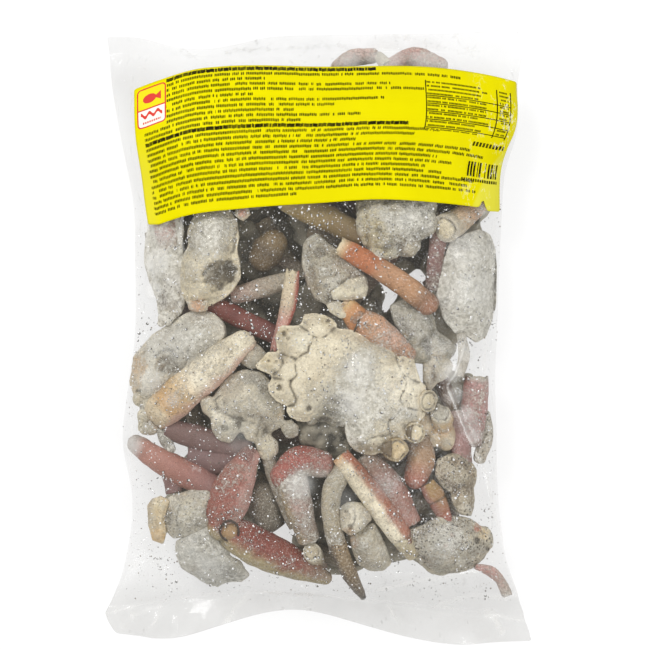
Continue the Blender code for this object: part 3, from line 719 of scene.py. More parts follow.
# Limbs: the path's points are (x, y, sink), widths in mm from start to end.
limbSpecs = {
    "darkRedTube": dict(path=[(203, 300, 11), (240, 318, 9), (284, 340, 9)], widths=[10, 10.5, 10, 9.5],
        tints=[(0, (112, 56, 46)), (0.42, (106, 50, 42)), (0.5, (124, 68, 60)), (1, (96, 56, 50))],
        frost=-0.35),
    "splinterLeg": dict(path=[(292.5, 273, 6), (289, 300, 5), (275, 350, 6)], widths=[7.2, 8.4, 6.8, 5.0],
        ends=("hollow", "cut"), ragged=0.9, tints=[(0, (218, 204, 172)), (0.4, (212, 192, 164)),
        (0.62, (198, 152, 138)), (1, (172, 116, 106))], edge=((186, 100, 86), -1, 0.35), frost=0.1),
    "oliveTube": dict(path=[(286, 200, 8), (322, 216, 7), (364, 238, 8)], widths=[12, 13.5, 13, 12],
        tints=[(0, (182, 160, 112)), (0.45, (146, 126, 84)), (1, (112, 92, 62))], frost=-0.3),
    "orangeLeg": dict(path=[(340, 246, 1.2), (375, 266, 0.7), (405, 286, 0.8), (428, 304, 1.6)],
        widths=[9.5, 11, 11, 12, 11.5], ends=("cut", "round"), ragged=0.3,
        tints=[(0, (222, 206, 172)), (0.05, (214, 178, 136)), (0.1, (186, 112, 68)), (0.34, (184, 112, 70)),
        (0.46, (192, 146, 110)), (0.8, (186, 140, 100)), (0.92, (146, 108, 80)), (1, (156, 108, 78))],
        frost=-0.25, speck=0.3),
    "clawRoot": dict(path=[(345, 305, 2.6), (360, 322, 2.2)], widths=[10, 13],
        tints=[(0, (206, 176, 128)), (0.3, (196, 142, 92)), (1, (180, 120, 76))], frost=-0.1),
    "pinkClaw": dict(path=[(357, 318, 1.4), (380, 333, 0.9), (410, 354, 3.2)], widths=[11.5, 15.5, 12.5, 7],
        ends=("round", "round"), joints=(0.02,), tints=[(0, (196, 138, 92)), (0.2, (206, 158, 120)),
        (0.6, (210, 166, 142)), (1, (186, 132, 94))], speck=0.3, edge=((196, 138, 98), 1, 0.3)),
    "clawJoint": dict(path=[(354, 332, 4.0), (357, 325, 0.9), (361, 316, 2.6)], widths=[0.8, 1.1, 0.8],
        tints=[(0, (74, 62, 48))], frost=-0.5),
    "dullLeg": dict(path=[(441, 222, 8), (436, 255, 8), (431, 290, 9)], widths=[8.5, 9, 8, 6.5],
        tints=[(0, (150, 116, 108)), (0.5, (136, 98, 92)), (1, (120, 92, 86))], frost=-0.1),
    "cutStump": dict(path=[(445.5, 228.5, -3), (452, 225, 2.6), (466, 214, 3.4), (484, 197, 3.5)],
        widths=[15, 13, 12, 10.5], meatTint=rgb(234, 220, 186), ragged=0.35,
        tints=[(0, (228, 216, 190)), (0.3, (228, 204, 168)), (0.6, (204, 160, 128)), (1, (200, 170, 150))],
        frost=0.1),
    "creamArm": dict(path=[(163, 410, 1.4), (200, 378, 0.6), (243, 342, 1.4)], widths=[19, 19, 17.5, 12.5],
        ends=("round", "round"), ragged=0.5, tints=[(0, (214, 196, 164)), (0.1, (208, 166, 112)),
        (0.26, (214, 182, 134)), (0.45, (240, 230, 206)), (1, (232, 222, 196))],
        edge=((214, 178, 160), 1, 0.45), frost=0.12, speck=0.25),
    "mauveClaw": dict(path=[(136, 444, 4.5), (158, 459, 4), (186, 474, 4.5), (218, 490, 6)],
        widths=[10, 13, 14.5, 13], ends=("round", "round"), tints=[(0, (170, 160, 152)),
        (0.12, (178, 130, 116)), (0.6, (158, 108, 96)), (1, (136, 100, 96))], frost=-0.2),
    "mauveStub": dict(path=[(170, 470, 6), (175, 492, 7)], widths=[10, 9],
        tints=[(0, (140, 104, 98)), (1, (122, 94, 90))], frost=-0.3),
    "mauveUpper": dict(path=[(168, 428, 9), (205, 440, 8), (250, 452, 9)], widths=[11, 13, 12],
        tints=[(0, (122, 96, 92)), (1, (116, 92, 88))], frost=-0.35),
    "mauveLower": dict(path=[(190, 456, 9), (225, 463, 8), (256, 470, 10)], widths=[13, 14, 12],
        tints=[(0, (118, 92, 90)), (1, (124, 96, 92))], frost=-0.35),
    "redArm": dict(path=[(249, 456, 2.6), (236, 482, 1.2), (224, 512, 1.4)], widths=[11, 17, 21.5, 20],
        ends=("round", "round"), tints=[(0, (130, 92, 84)), (0.12, (166, 110, 98)), (0.2, (160, 120, 108)),
        (0.3, (160, 100, 86)), (0.7, (148, 84, 70)), (1, (146, 84, 70))], edge=((196, 152, 142), -1, 0.2),
        frost=0.15),
    "redForearm": dict(path=[(220, 526, 1.6), (250, 543, 1.0), (288, 561, 1.6), (326, 578, 5)],
        widths=[14, 19.5, 19, 15, 7], ends=("round", "round"), joints=(0.06,),
        tints=[(0, (152, 82, 66)), (0.3, (132, 62, 50)), (0.7, (142, 76, 62)), (1, (168, 150, 128))],
        edge=((172, 156, 118), 1, 0.12), frost=0.15),
    "frostStrip": dict(path=[(160, 431, 10), (166, 441, 9), (171, 449, 9)], widths=[4, 6.5, 5],
        ends=("round", "round"), ragged=0.5, tints=[(0, (156, 151, 140))], frost=0.5),
    "jointRing": dict(path=[(239, 532, 1.2), (237, 525, 1.0), (230, 521, 0.8), (223, 524, 0.7),
        (220, 531, 0.8), (223, 538, 1.1), (230, 541, 1.4), (237, 538, 1.4), (239, 531, 1.2)],
        widths=[1.2, 1.2], tints=[(0, (66, 54, 46))], frost=-0.5),
    "jointDot": dict(path=[(228, 530, 0.7), (231, 532, 0.8)], widths=[8.4, 8.4], ends=("round", "round"),
        tints=[(0, (166, 136, 100))], frost=-0.2),
    "archClaw": dict(path=[(284, 476, 2.6), (300, 462, 1.6), (322, 464, 3.0)], widths=[15, 16.5, 14],
        ends=("round", "round"), tints=[(0, (168, 96, 84)), (0.5, (160, 84, 72)), (1, (156, 106, 96))],
        edge=((200, 186, 178), 1, 0.2)),
    "archStem": dict(path=[(290, 478, 3.0), (299, 508, 3.2), (309, 540, 5.5)], widths=[17, 15.5, 13, 11],
        ends=("round", "cut"), tints=[(0, (192, 168, 158)), (0.4, (180, 150, 140)), (1, (160, 142, 122))],
        edge=((168, 148, 112), 1, 0.25), frost=0.35),
    "twoToneLeg": dict(path=[(341, 456, 1.2), (366, 488, 0.7), (388, 518, 0.8), (404, 541, 1.4)],
        widths=[9.5, 11.5, 12.5, 12.5, 11.5], ends=("cut", "round"), joints=(0.985,),
        tints=[(0, (206, 164, 120)), (0.1, (236, 224, 196)), (1, (244, 234, 208))],
        edge=((166, 100, 72), -1, -0.1), frost=0.12, speck=0.2),
    "twoToneTip": dict(path=[(403, 540, 1.8), (411, 554, 3.4)], widths=[10.5, 7], ends=("round", "round"),
        tints=[(0, (210, 200, 170)), (1, (196, 182, 150))], frost=0.1),
    "curvedLeg": dict(path=[(347, 466, 3.5), (333, 488, 2.6), (331, 518, 2.4), (338, 548, 2.2)],
        widths=[11, 10.5, 9.5, 9.5], ends=("round", "cut"), tints=[(0, (186, 176, 152)),
        (0.5, (190, 178, 152)), (1, (160, 146, 120))], frost=0.35),
    "fingerTip": dict(path=[(337, 545, 2.4), (349, 573, 2.0), (363, 597, 1.6)], widths=[9.5, 9, 7.4, 3.4],
        ends=("round", "round"), tints=[(0, (154, 134, 104)), (0.6, (128, 108, 80)), (0.9, (96, 82, 64)),
        (1, (44, 38, 32))], frost=-0.1, speck=1.0, edge=((104, 92, 80), 1, 0.3)),
    "mauveLeg": dict(path=[(364, 456, 7.5), (388, 485, 4.6), (410, 524, 5.5)], widths=[11, 14, 14.5, 12],
        tints=[(0, (150, 134, 118)), (0.35, (150, 104, 90)), (1, (166, 118, 104))], frost=0.15),
    "brownLeg": dict(path=[(418, 438, 6.5), (421, 460, 4.6), (416, 478, 6.5)], widths=[12, 14.5, 12.5],
        ends=("cut", "round"), tints=[(0, (138, 114, 86)), (0.5, (168, 132, 96)), (1, (168, 104, 84))],
        frost=0.12),
    "yellowLeg": dict(path=[(427, 484, 5.0), (438, 502, 4.6), (447, 521, 6)], widths=[8, 10, 8.5, 6],
        ends=("hollow", "round"), tints=[(0, (166, 136, 84)), (0.5, (150, 108, 68)), (1, (152, 84, 70))],
        edge=((150, 102, 88), 1, 0.1), frost=-0.1, joints=(0.45,)),
    "pinkSideLeg": dict(path=[(477, 378, 2.6), (475, 405, 2.6), (473, 438, 4.5)],
        widths=[12, 13.5, 12.5, 10], ends=("cut", "round"), ragged=0.3,
        tints=[(0, (190, 180, 170)), (0.1, (194, 150, 146)), (0.6, (188, 140, 136)), (1, (160, 124, 118))],
        edge=((164, 82, 72), 1, 0.6), frost=0.3),
    "speckledStrip": dict(path=[(484, 416, 4), (485, 436, 4), (480, 458, 6)], widths=[7, 8.5, 6.5],
        ends=("round", "round"), tints=[(0, (200, 192, 176)), (1, (206, 192, 172))], frost=0.4, speck=1.0),
    "wineLeg": dict(path=[(455, 412, 11), (459, 435, 8.5), (462, 462, 9)], widths=[10, 11, 10.5],
        tints=[(0, (164, 142, 134)), (0.5, (164, 126, 122)), (1, (154, 116, 110))], frost=0.1),
    "palePiece": dict(path=[(461, 334, 5), (464, 356, 5), (459, 376, 6.5)], widths=[5, 6, 5],
        tints=[(0, (214, 206, 194)), (1, (206, 198, 184))], frost=0.3),
    "pinkScrap": dict(path=[(478, 567, 2.0), (490, 571, 1.8), (500, 580, 1.8), (506, 592, 2.2)],
        widths=[3.5, 5.5, 5, 5.5], ends=("round", "round"), ragged=0.8,
        tints=[(0, (190, 140, 132)), (0.5, (206, 166, 156)), (1, (216, 204, 194))], frost=0.3),
    "ringLimb": dict(path=[(318, 566, 18), (314, 556, 9), (312, 552, -1)], widths=[10, 10.5, 9.5], flat=1.0,
        tints=[(0, (140, 110, 100)), (0.7, (176, 160, 132)), (1, (216, 208, 186))], frost=0.1,
        meatTint=rgb(196, 184, 158)),
    "greyLimb": dict(path=[(266, 450, 9), (278, 486, 9), (296, 526, 9)], widths=[7, 8, 8],
        tints=[(0, (170, 160, 142)), (1, (140, 130, 110))], frost=0.25),
    "brownRound": dict(path=[(262, 494, 13), (268, 520, 13)], widths=[15, 17, 15], ends=("round", "round"),
        tints=[(0, (122, 112, 96)), (1, (108, 100, 86))], frost=0.05, speck=0.5),
    "blurLeg": dict(path=[(163, 212, 3.5), (167, 234, 1.6), (169, 256, 3.4)], widths=[12, 12, 9],
        ends=("cut", "round"), tints=[(0, (206, 172, 158)), (0.5, (202, 150, 138)), (1, (214, 204, 184))],
        frost=0.3),
    "shadeLeg": dict(path=[(232, 296, 12), (262, 288, 11), (290, 280, 12)], widths=[9, 10, 9.5],
        tints=[(0, (160, 128, 118)), (0.5, (170, 154, 136)), (1, (176, 166, 146))]),
    "brownJoint": dict(path=[(262, 258, 13), (274, 242, 12)], widths=[15, 17, 14], ends=("round", "round"),
        tints=[(0, (104, 86, 60)), (0.5, (92, 76, 54)), (1, (124, 104, 72))], frost=0.02),
    "ringA": dict(path=[(413, 399, 10), (421, 400, 4), (428.5, 401, -2.5)], widths=[9, 10.5, 11.5],
        flat=1.0, ragged=0.4, tints=[(0, (206, 188, 150)), (0.6, (190, 160, 116)), (1, (220, 208, 180))],
        frost=0.05, meatTint=rgb(216, 204, 174)),
    "ringB": dict(path=[(408, 431, 9), (411, 432, 3), (415.5, 433, -4)], widths=[8, 11, 10.5], flat=1.0,
        ragged=0.4, tints=[(0, (180, 156, 118)), (0.6, (130, 106, 76)), (1, (206, 192, 160))], frost=0.0,
        meatTint=rgb(226, 212, 180)),
    "ringC": dict(path=[(389, 447, 10), (392, 448, 3), (397, 450, -4)], widths=[9, 12.5, 12], flat=1.0,
        ragged=0.45, tints=[(0, (176, 152, 112)), (0.6, (118, 96, 68)), (1, (186, 166, 128))], frost=0.0,
        meatTint=rgb(216, 194, 152)),
    # Thin dark crescents beside the cut ends of ringB and ringC: painted shadow, partly over the dark shell
    # of their rims.
    "crescentShadowB": dict(path=[(413, 425, -0.8), (408.5, 431, -1.2), (410.5, 439, -0.8)], widths=[1, 3.4, 1],
        ends=("round", "round"), tints=[(0, (104, 90, 66))], frost=-0.4),
    "crescentShadowC": dict(path=[(391, 441, -0.8), (387, 448, -1.4), (390, 456, -0.8)], widths=[1.2, 6, 1.6],
        ends=("round", "round"), tints=[(0, (112, 96, 72))], frost=-0.3, speck=0.6),
    "ringD": dict(path=[(445, 442, 15), (444, 430, 9), (441, 414, -1.5)], widths=[9, 11, 11.5], flat=1.0,
        ragged=0.5, lump=0.12, tints=[(0, (170, 130, 84)), (0.5, (192, 146, 96)), (0.85, (206, 176, 130)),
        (1, (222, 212, 190))], frost=0.25, meatTint=rgb(196, 190, 174)),
    "topLegLeft": dict(path=[(338, 68, 2.5), (350, 59, 2.0), (372, 56, 2.6)], widths=[8, 9, 8],
        ends=("round", "round"), tints=[(0, (206, 176, 166)), (1, (212, 186, 176))], frost=0.4),
    "topPlate": dict(path=[(378, 56, 1.8), (388, 66, 1.8)], widths=[5.5, 7],
        tints=[(0, (216, 210, 192)), (1, (206, 198, 176))], frost=0.1),
    "topLegRight": dict(path=[(392, 66, 2.8), (414, 58, 2.0), (440, 66, 3)], widths=[9, 11, 9],
        ends=("round", "round"), tints=[(0, (196, 160, 150)), (0.5, (200, 158, 148)), (1, (212, 180, 168))],
        frost=0.35),
}

print("limbs")
limbPieces = [layLimb(seed=n + 1, **spec) for n, spec in enumerate(limbSpecs.values())]

# The under layer shows in the gaps, from the sides and from the back, and fills the room behind the label.
# openGaps: where the floor shows through between the pieces: (x, y, radius) on the sheet
openGaps = [
    (163, 442, 9), (178, 451, 6), (389, 291, 6), (389, 301, 4), (152, 322, 8), (150, 306, 8),
    (168, 556, 12), (492, 380, 9), (483, 490, 12), (487, 228, 10), (418, 270, 8), (420, 373, 6),
    (484, 355, 15), (451, 364, 4), (260, 530, 7), (294, 538, 6), (275, 590, 20), (320, 590, 16),
    (420, 598, 20), (140, 470, 16), (136, 300, 12), (500, 430, 10), (480, 60, 30), (250, 50, 30),
    (160, 60, 30),
]
underLayer = {
    # The shades and the cut face of the under layer are darkened, as painted shade in the gaps between the
    # pieces above.
    "seed": 11, "limbs": 190, "frost": 0.0, "speck": 0.4, "cutFace": (150, 140, 118),
    # limbs: where their middles lie on the sheet, heights over the back, sizes in mm, and their room
    "across": (152, 486), "behindLabel": {"down": (86, 196), "heights": [0, 9, 18]},
    "inSight": {"down": (205, 560), "heights": [0, 5, 12]}, "long": (44, 84), "wide": (7, 12),
    "bow": (-5, 5), "room": (154, 482, 76, 566),
    "shades": [(124, 113, 94), (112, 86, 78), (134, 126, 107), (120, 107, 87), (110, 82, 76), (134, 118, 94)],
    # lumps on the back: (x, y, minus the height over the back, long, wide, thick, turn)
    "lumps": [
        (196, 246, 0, 44, 34, 16, 20), (262, 246, 0, 40, 44, 18, 0), (230, 330, 0, 50, 36, 18, 30),
        (318, 232, 0, 46, 34, 18, -10), (392, 225, -1, 44, 34, 20, 0), (452, 250, 0, 36, 44, 18, 0),
        (399, 352, 0, 14, 14, 12, 0), (236, 280, 0, 16, 16, 12, 0), (304, 280, 0, 14, 16, 12, 0),
        (196, 308, 0, 18, 14, 12, 0), (346, 268, -2, 30, 34, 16, 0), (176, 386, 0, 38, 34, 16, 40),
        (238, 405, 0, 48, 44, 20, 0), (306, 380, 0, 50, 46, 20, 0), (372, 400, 0, 52, 44, 20, 0),
        (440, 420, 0, 34, 46, 18, 0), (222, 466, 0, 46, 28, 16, 10), (300, 462, 0, 44, 40, 18, 0),
        (380, 470, 0, 50, 40, 20, 0), (438, 490, 0, 30, 36, 18, 0), (190, 512, 0, 34, 24, 14, 0),
        (322, 510, 0, 36, 40, 16, 0), (380, 535, 0, 52, 30, 16, 0), (448, 545, 0, 44, 28, 14, 0),
        (352, 330, -6, 40, 30, 14, 0), (270, 300, 0, 36, 30, 14, 0), (312, 306, -3, 24, 26, 14, 0),
        (364, 318, -3, 20, 24, 14, 0), (252, 508, 0, 14, 16, 12, 0), (198, 446, 0, 12, 14, 12, 0),
        (186, 428, 0, 12, 8, 10, 0), (300, 540, 0, 10, 10, 8, 0), (440, 318, -2, 30, 34, 16, 0),
        (411, 303, -4, 15, 26, 12, 0), (402, 262, -3, 18, 14, 10, 0), (266, 356, 0, 30, 30, 14, 0),
        (166, 250, 0, 22, 50, 14, 0), (178, 308, 0, 14, 22, 12, 0), (374, 296, 0, 12, 16, 12, 0),
        (446, 392, -3, 24, 24, 14, 0), (300, 240, 0, 24, 34, 14, 0), (336, 216, 0, 40, 24, 14, 0),
        (430, 225, 0, 24, 30, 14, 0), (462, 234, -2, 16, 22, 14, 0), (468, 400, -2, 12, 30, 10, 0),
        (410, 320, -4, 26, 24, 12, 0), (340, 560, 0, 30, 16, 10, 0), (190, 180, 0, 44, 40, 20, 0),
        (250, 170, -3, 44, 44, 24, 0), (310, 160, 0, 44, 44, 22, 0), (370, 165, -2, 44, 44, 24, 0),
        (430, 170, 0, 40, 44, 20, 0), (470, 185, 0, 30, 40, 16, 0), (220, 110, 0, 46, 30, 14, 0),
        (300, 110, 0, 46, 34, 16, 0), (385, 105, 0, 46, 34, 16, 0), (450, 120, 0, 36, 34, 14, 0),
    ],
}


def nearGap(spot, margin=8):
    return any(math.dist(spot[:2], gap[:2]) < gap[2] + margin for gap in openGaps)


def layUnder(pick):
    pieces = []
    left, right, top, foot = underLayer["room"]
    for n in range(underLayer["limbs"]):
        area = underLayer["behindLabel" if n % 3 == 0 else "inSight"]
        x, y = pick.uniform(*underLayer["across"]), pick.uniform(*area["down"])
        turn, long = pick.uniform(0, math.pi), pick.uniform(*underLayer["long"])
        wide = pick.uniform(*underLayer["wide"])
        height = pick.choice(area["heights"])
        reach = (math.cos(turn) * long / 2, math.sin(turn) * long / 2)
        bow = pick.uniform(*underLayer["bow"])
        flatPath = [(x - reach[0], y - reach[1]), (x + bow, y - bow), (x + reach[0], y + reach[1])]
        path = [(*spot, height) for spot in flatPath]
        shades = [pick.choice(underLayer["shades"]), pick.choice(underLayer["shades"])]
        ends = pick.choice([("hollow", "cut"), ("cut", "cut"), ("round", "cut")])
        along = [(x + reach[0] * k / 4, y + reach[1] * k / 4) for k in range(-4, 5)]
        if any(not (left < p[0] < right and top < p[1] < foot) or nearGap(p) for p in along):
            continue
        pieces.append(layLimb(
            path, [wide, wide * 1.1, wide * 0.85], ends=ends, tints=list(enumerate(shades)), seed=100 + n,
            frost=underLayer["frost"], speck=underLayer["speck"], meatTint=rgb(*underLayer["cutFace"]),
            onBack=True,
        ))
    return pieces


print("under layer")
underPieces = layUnder(random.Random(underLayer["seed"]))
# The lumps on the back are tinted very dark, as painted shade in the gaps.
underBodies = fuseBody(
    "underBodies", (52, 48, 35), underLayer["lumps"], voxel=1.9, frost=-0.1, speck=0.3, bumps=1.6, grit=0.5,
    stainCount=0, patches=[(430, 400, 75, (76, 70, 59), 1.0), (395, 300, 35, (76, 70, 59), 1.0)],
)

# The label is a sheet of paper between two long edges, (x, y) in mm, and two short ones, (y, x) in mm.
# The notch is (x, half its width, depth) on the lower edge, and the step (from x, to x, height) beside it.
labelSpec = {
    "top": [
        (-94, 126), (-78, 131.8), (-62, 136.8), (-50, 138.2), (3, 137.8), (60, 137.4), (87, 133.6),
        (101, 130.8),
    ],
    "bottom": [(-87, 57.4), (-73, 61.2), (-41, 65), (3, 67.9), (33, 69.6), (67, 68), (93, 65.6)],
    "left": [(56, -86.2), (66, -87.8), (82, -89.8), (100, -92.6), (130, -94.0)],
    "right": [(60, 92.2), (90, 94.0), (97, 96.4), (104, 99.6), (134, 101.6)],
    "middle": 105, "across": 190, "along": 66, "half": (97.0, 35.0), "corner": 1.0, "lift": 0.75,
    "thick": 0.25, "notch": (83.6, 1.4, 4.6), "step": (82.0, 85.0, 1.4), "looseFrom": (60.0, 92.0),
}


def edgeLine(points):
    places, values = zip(*points)
    return lambda where: through(places, values, np.clip(where, places[0], places[-1]))


def makeLabel():
    spec = labelSpec
    bpy.ops.mesh.primitive_grid_add(x_subdivisions=spec["across"], y_subdivisions=spec["along"], size=2)
    piece = bpy.context.object
    piece.name = piece.data.name = "labelSheet"
    flat = spots(piece)
    top, bottom, left, right = (edgeLine(spec[key]) for key in ("top", "bottom", "left", "right"))
    # corners rounded: what lies past the corner square's inner corner is drawn in to an arc
    half = np.array(spec["half"])
    past = np.maximum(np.abs(flat[:, :2]) * half - (half - spec["corner"]), 0)
    reach = np.hypot(past[:, 0], past[:, 1])
    shrink = np.where(reach > 1e-6, past.max(1) / np.maximum(reach, 1e-6), 1)
    inner = np.minimum(np.abs(flat[:, :2]) * half, half - spec["corner"]) + past * shrink[:, None]
    share = (np.sign(flat[:, :2]) * inner / half + 1) / 2
    middle = np.full(len(flat), float(spec["middle"]))
    x = left(middle) + share[:, 0] * (right(middle) - left(middle))
    y = bottom(x) + share[:, 1] * (top(x) - bottom(x))
    x = left(y) + share[:, 0] * (right(y) - left(y))
    notchPlace, notchWide, notchDeep = spec["notch"]
    y += np.exp(-(((x - notchPlace) / notchWide) ** 2)) * notchDeep * np.clip(1 - share[:, 1] * 6, 0, 1)
    stepFrom, stepTo, stepHigh = spec["step"]
    y -= softStep(x, stepFrom, stepTo) * stepHigh * np.clip(1 - share[:, 1] * 5, 0, 1)
    where = np.column_stack([x * mm, y * mm, np.zeros(len(x))])
    where[:, 2] = fronts(where) + spec["lift"] * mm
    crumple = np.column_stack([where[:, 0] * 0.9 + where[:, 1] * 0.5, where[:, 1] * 0.35, where[:, 2] * 0])
    loose = 0.10 + 0.5 * softStep(x, *spec["looseFrom"]) + 0.3 * softStep(-share[:, 1], -0.1, 0.0)
    where[:, 2] += (np.abs(rough(crumple, 7 * mm, 3)) * loose + rough(where, 26 * mm, 5) * 0.25) * mm
    moveSpots(piece, where)
    modify(piece, "SOLIDIFY", thickness=spec["thick"] * mm, offset=1.0)
    piece.data.shade_smooth()
    return piece


# The film is the bag's solid, refined and drawn taut over what it holds.
film = {
    "gap": 0.45 * mm, "rounds": 320, "puff": 0.0012 * mm, "wrinkle": 0.35 * mm, "loose": 1.6 * mm,
    # how far the right and the left margin stand out: (sheet row, sheet units), from x to x in metres
    "rightMoves": [(380, 0), (430, 3), (500, 4), (551, 6), (588, 8), (613, 8), (634, 1)],
    "leftMoves": [(580, 0), (600, -2.5), (612, -5), (618, -1), (634, 13)],
    "right": (0.074, 0.09), "left": (0.08, 0.1),
    "lift": 2.5 * mm, "liftAcross": (0.06, 0.108), "liftAlong": (0.15, 0.157),  # the upper right corner
}
# Creases stand up from the front: a line on the sheet, height and width in mm.
creases = [
    ([(107, 612), (150, 603), (200, 595), (240, 590), (330, 596), (390, 601), (450, 608), (525, 620)], 0.7,
    1.1), ([(380, 590), (410, 583), (445, 577), (475, 573)], 0.9, 1.6),
    ([(225, 625), (236, 606), (250, 592)], 0.7, 2.2), ([(385, 601), (392, 612), (400, 625)], 0.6, 1.6),
    ([(480, 610), (492, 622), (500, 632)], 0.8, 2.0), ([(118, 628), (135, 616), (160, 606)], 0.6, 1.8),
    ([(150, 632), (158, 616), (172, 604)], 0.5, 2.0), ([(290, 600), (300, 606), (312, 604)], 0.4, 2.0),
    ([(440, 604), (470, 596), (510, 598)], 0.7, 2.0),
    ([(467, 336), (463, 352), (456, 372), (447, 386), (450, 394)], 0.8, 0.8),
    ([(450, 394), (456, 408), (464, 428), (474, 450), (484, 474), (488, 500)], 1.0, 0.9),
    ([(458, 400), (470, 424), (480, 446)], 0.5, 0.8), ([(488, 500), (492, 520), (500, 545)], 0.8, 1.6),
    ([(484, 212), (478, 226), (470, 240)], 0.6, 0.9),
    ([(150, 215), (146, 240), (150, 270), (158, 290)], 0.6, 2.0),
    ([(182, 216), (180, 236), (184, 250)], 0.9, 1.2), ([(178, 222), (172, 245), (160, 262)], 0.6, 1.4),
    ([(130, 330), (140, 345), (138, 365)], 0.5, 1.6), ([(128, 400), (134, 420), (130, 440)], 0.6, 1.6),
    ([(128, 440), (140, 436), (156, 440)], 0.6, 1.0), ([(130, 452), (134, 470), (132, 488)], 0.6, 1.4),
    ([(115, 560), (135, 566), (160, 560)], 0.5, 2.0), ([(120, 585), (150, 580), (180, 588)], 0.4, 1.8),
    ([(212, 490), (214, 500), (218, 505)], 0.5, 0.9), ([(185, 460), (190, 467), (200, 470)], 0.7, 0.9),
    ([(266, 208), (268, 216), (276, 222)], 0.7, 0.9),
    ([(226, 52), (250, 50), (300, 48), (345, 45)], 0.5, 1.6), ([(180, 50), (195, 58), (205, 62)], 0.4, 2.4),
    ([(395, 36), (420, 40), (452, 50), (480, 58)], 0.5, 2.0), ([(455, 36), (462, 48), (480, 52)], 0.5, 1.6),
    ([(120, 60), (140, 58), (160, 62)], 0.3, 3.0), ([(495, 220), (492, 250), (494, 290)], 0.6, 1.6),
    ([(478, 330), (486, 345), (484, 368)], 0.7, 1.4), ([(490, 390), (494, 430), (492, 480)], 0.7, 1.4),
    ([(496, 500), (504, 540), (512, 580)], 0.7, 1.6),
]
# Where frost or a doubled film veils what is under it: (x, y, radius in mm, amount).
mistPatches = [
    (160, 235, 9, 0.28), (158, 262, 9, 0.45), (172, 280, 7, 0.25), (154, 290, 6, 0.4), (212, 235, 12, 0.1),
    (178, 345, 12, 0.2), (150, 380, 9, 0.3), (172, 400, 6, 0.3), (466, 250, 12, 0.35), (470, 290, 14, 0.35),
    (450, 225, 8, 0.12), (484, 208, 6, 0.3), (358, 372, 11, 0.35), (352, 404, 9, 0.4), (412, 330, 12, 0.1),
    (436, 350, 9, 0.2), (452, 372, 7, 0.5), (455, 395, 6, 0.35), (470, 425, 7, 0.3), (134, 447, 6, 0.5),
    (212, 565, 12, 0.3), (440, 545, 14, 0.2), (300, 485, 9, 0.4), (385, 485, 9, 0.25), (400, 590, 16, 0.12),
    (445, 590, 14, 0.12), (345, 500, 7, 0.2), (240, 440, 9, 0.2), (385, 58, 12, 0.45), (350, 60, 8, 0.4),
    (425, 60, 12, 0.4), (445, 66, 6, 0.4), (462, 352, 7, 0.4), (466, 414, 6, 0.45), (474, 436, 5, 0.45),
    (190, 545, 9, 0.2),
]


def solidCopy(node, name):
    piece = node.copy()
    piece.data = node.data.copy()
    piece.parent = None
    for key in list(piece.keys()):
        del piece[key]
    bpy.context.collection.objects.link(piece)
    piece.name = piece.data.name = name
    only(piece)
    bpy.ops.object.mode_set(mode="EDIT")
    bpy.ops.mesh.select_all(action="SELECT")
    bpy.ops.mesh.remove_doubles(threshold=0.00001)
    bpy.ops.mesh.tris_convert_to_quads(face_threshold=math.pi, shape_threshold=math.pi)
    bpy.ops.object.mode_set(mode="OBJECT")
    piece.data.materials.clear()
    return piece


def treeOf(pieces):
    verts, faces = [], []
    for piece in pieces:
        base = len(verts)
        verts.extend(v.co.copy() for v in piece.data.vertices)
        faces.extend([base + i for i in p.vertices] for p in piece.data.polygons)
    return BVHTree.FromPolygons(verts, faces)


def drawTaut(piece, contents, label):
    # lets the front sink on to what it holds, as far as its neighbours hold it up
    where = spots(piece)
    front, back = fronts(where), backs(where)
    isFront = np.abs(where[:, 2] - front) < np.abs(where[:, 2] - back)
    thick = front - back
    labelTree, contentTree = treeOf([label]), treeOf(contents)
    underLabel = np.array([castDown(labelTree, x, y) is not None for x, y in where[:, :2]])
    loose = (thick > film["loose"]) & isFront & ~underLabel
    held = np.full(len(where), -1.0)
    for i in np.nonzero(loose)[0]:
        hit = castDown(contentTree, where[i, 0], where[i, 1])
        if hit:
            held[i] = hit.z + film["gap"]
    first, second = edgeEnds(piece)
    spread = held.copy()
    np.maximum.at(spread, first, held[second])
    np.maximum.at(spread, second, held[first])
    held = np.where(loose, spread, -1.0)
    count = np.bincount(np.concatenate([first, second]), minlength=len(where))
    height = where[:, 2].copy()
    for _ in range(film["rounds"]):
        resting = sumAround(first, second, height) / count + film["puff"]
        height = np.where(loose, np.maximum(resting, held), height)
    where[:, 2] = height
    moveSpots(piece, where)
    setValues(piece, "free", np.clip((height - held) / (2.5 * mm), 0, 1) * loose + (thick <= film["loose"]))
    setValues(piece, "onFront", isFront * 1.0)


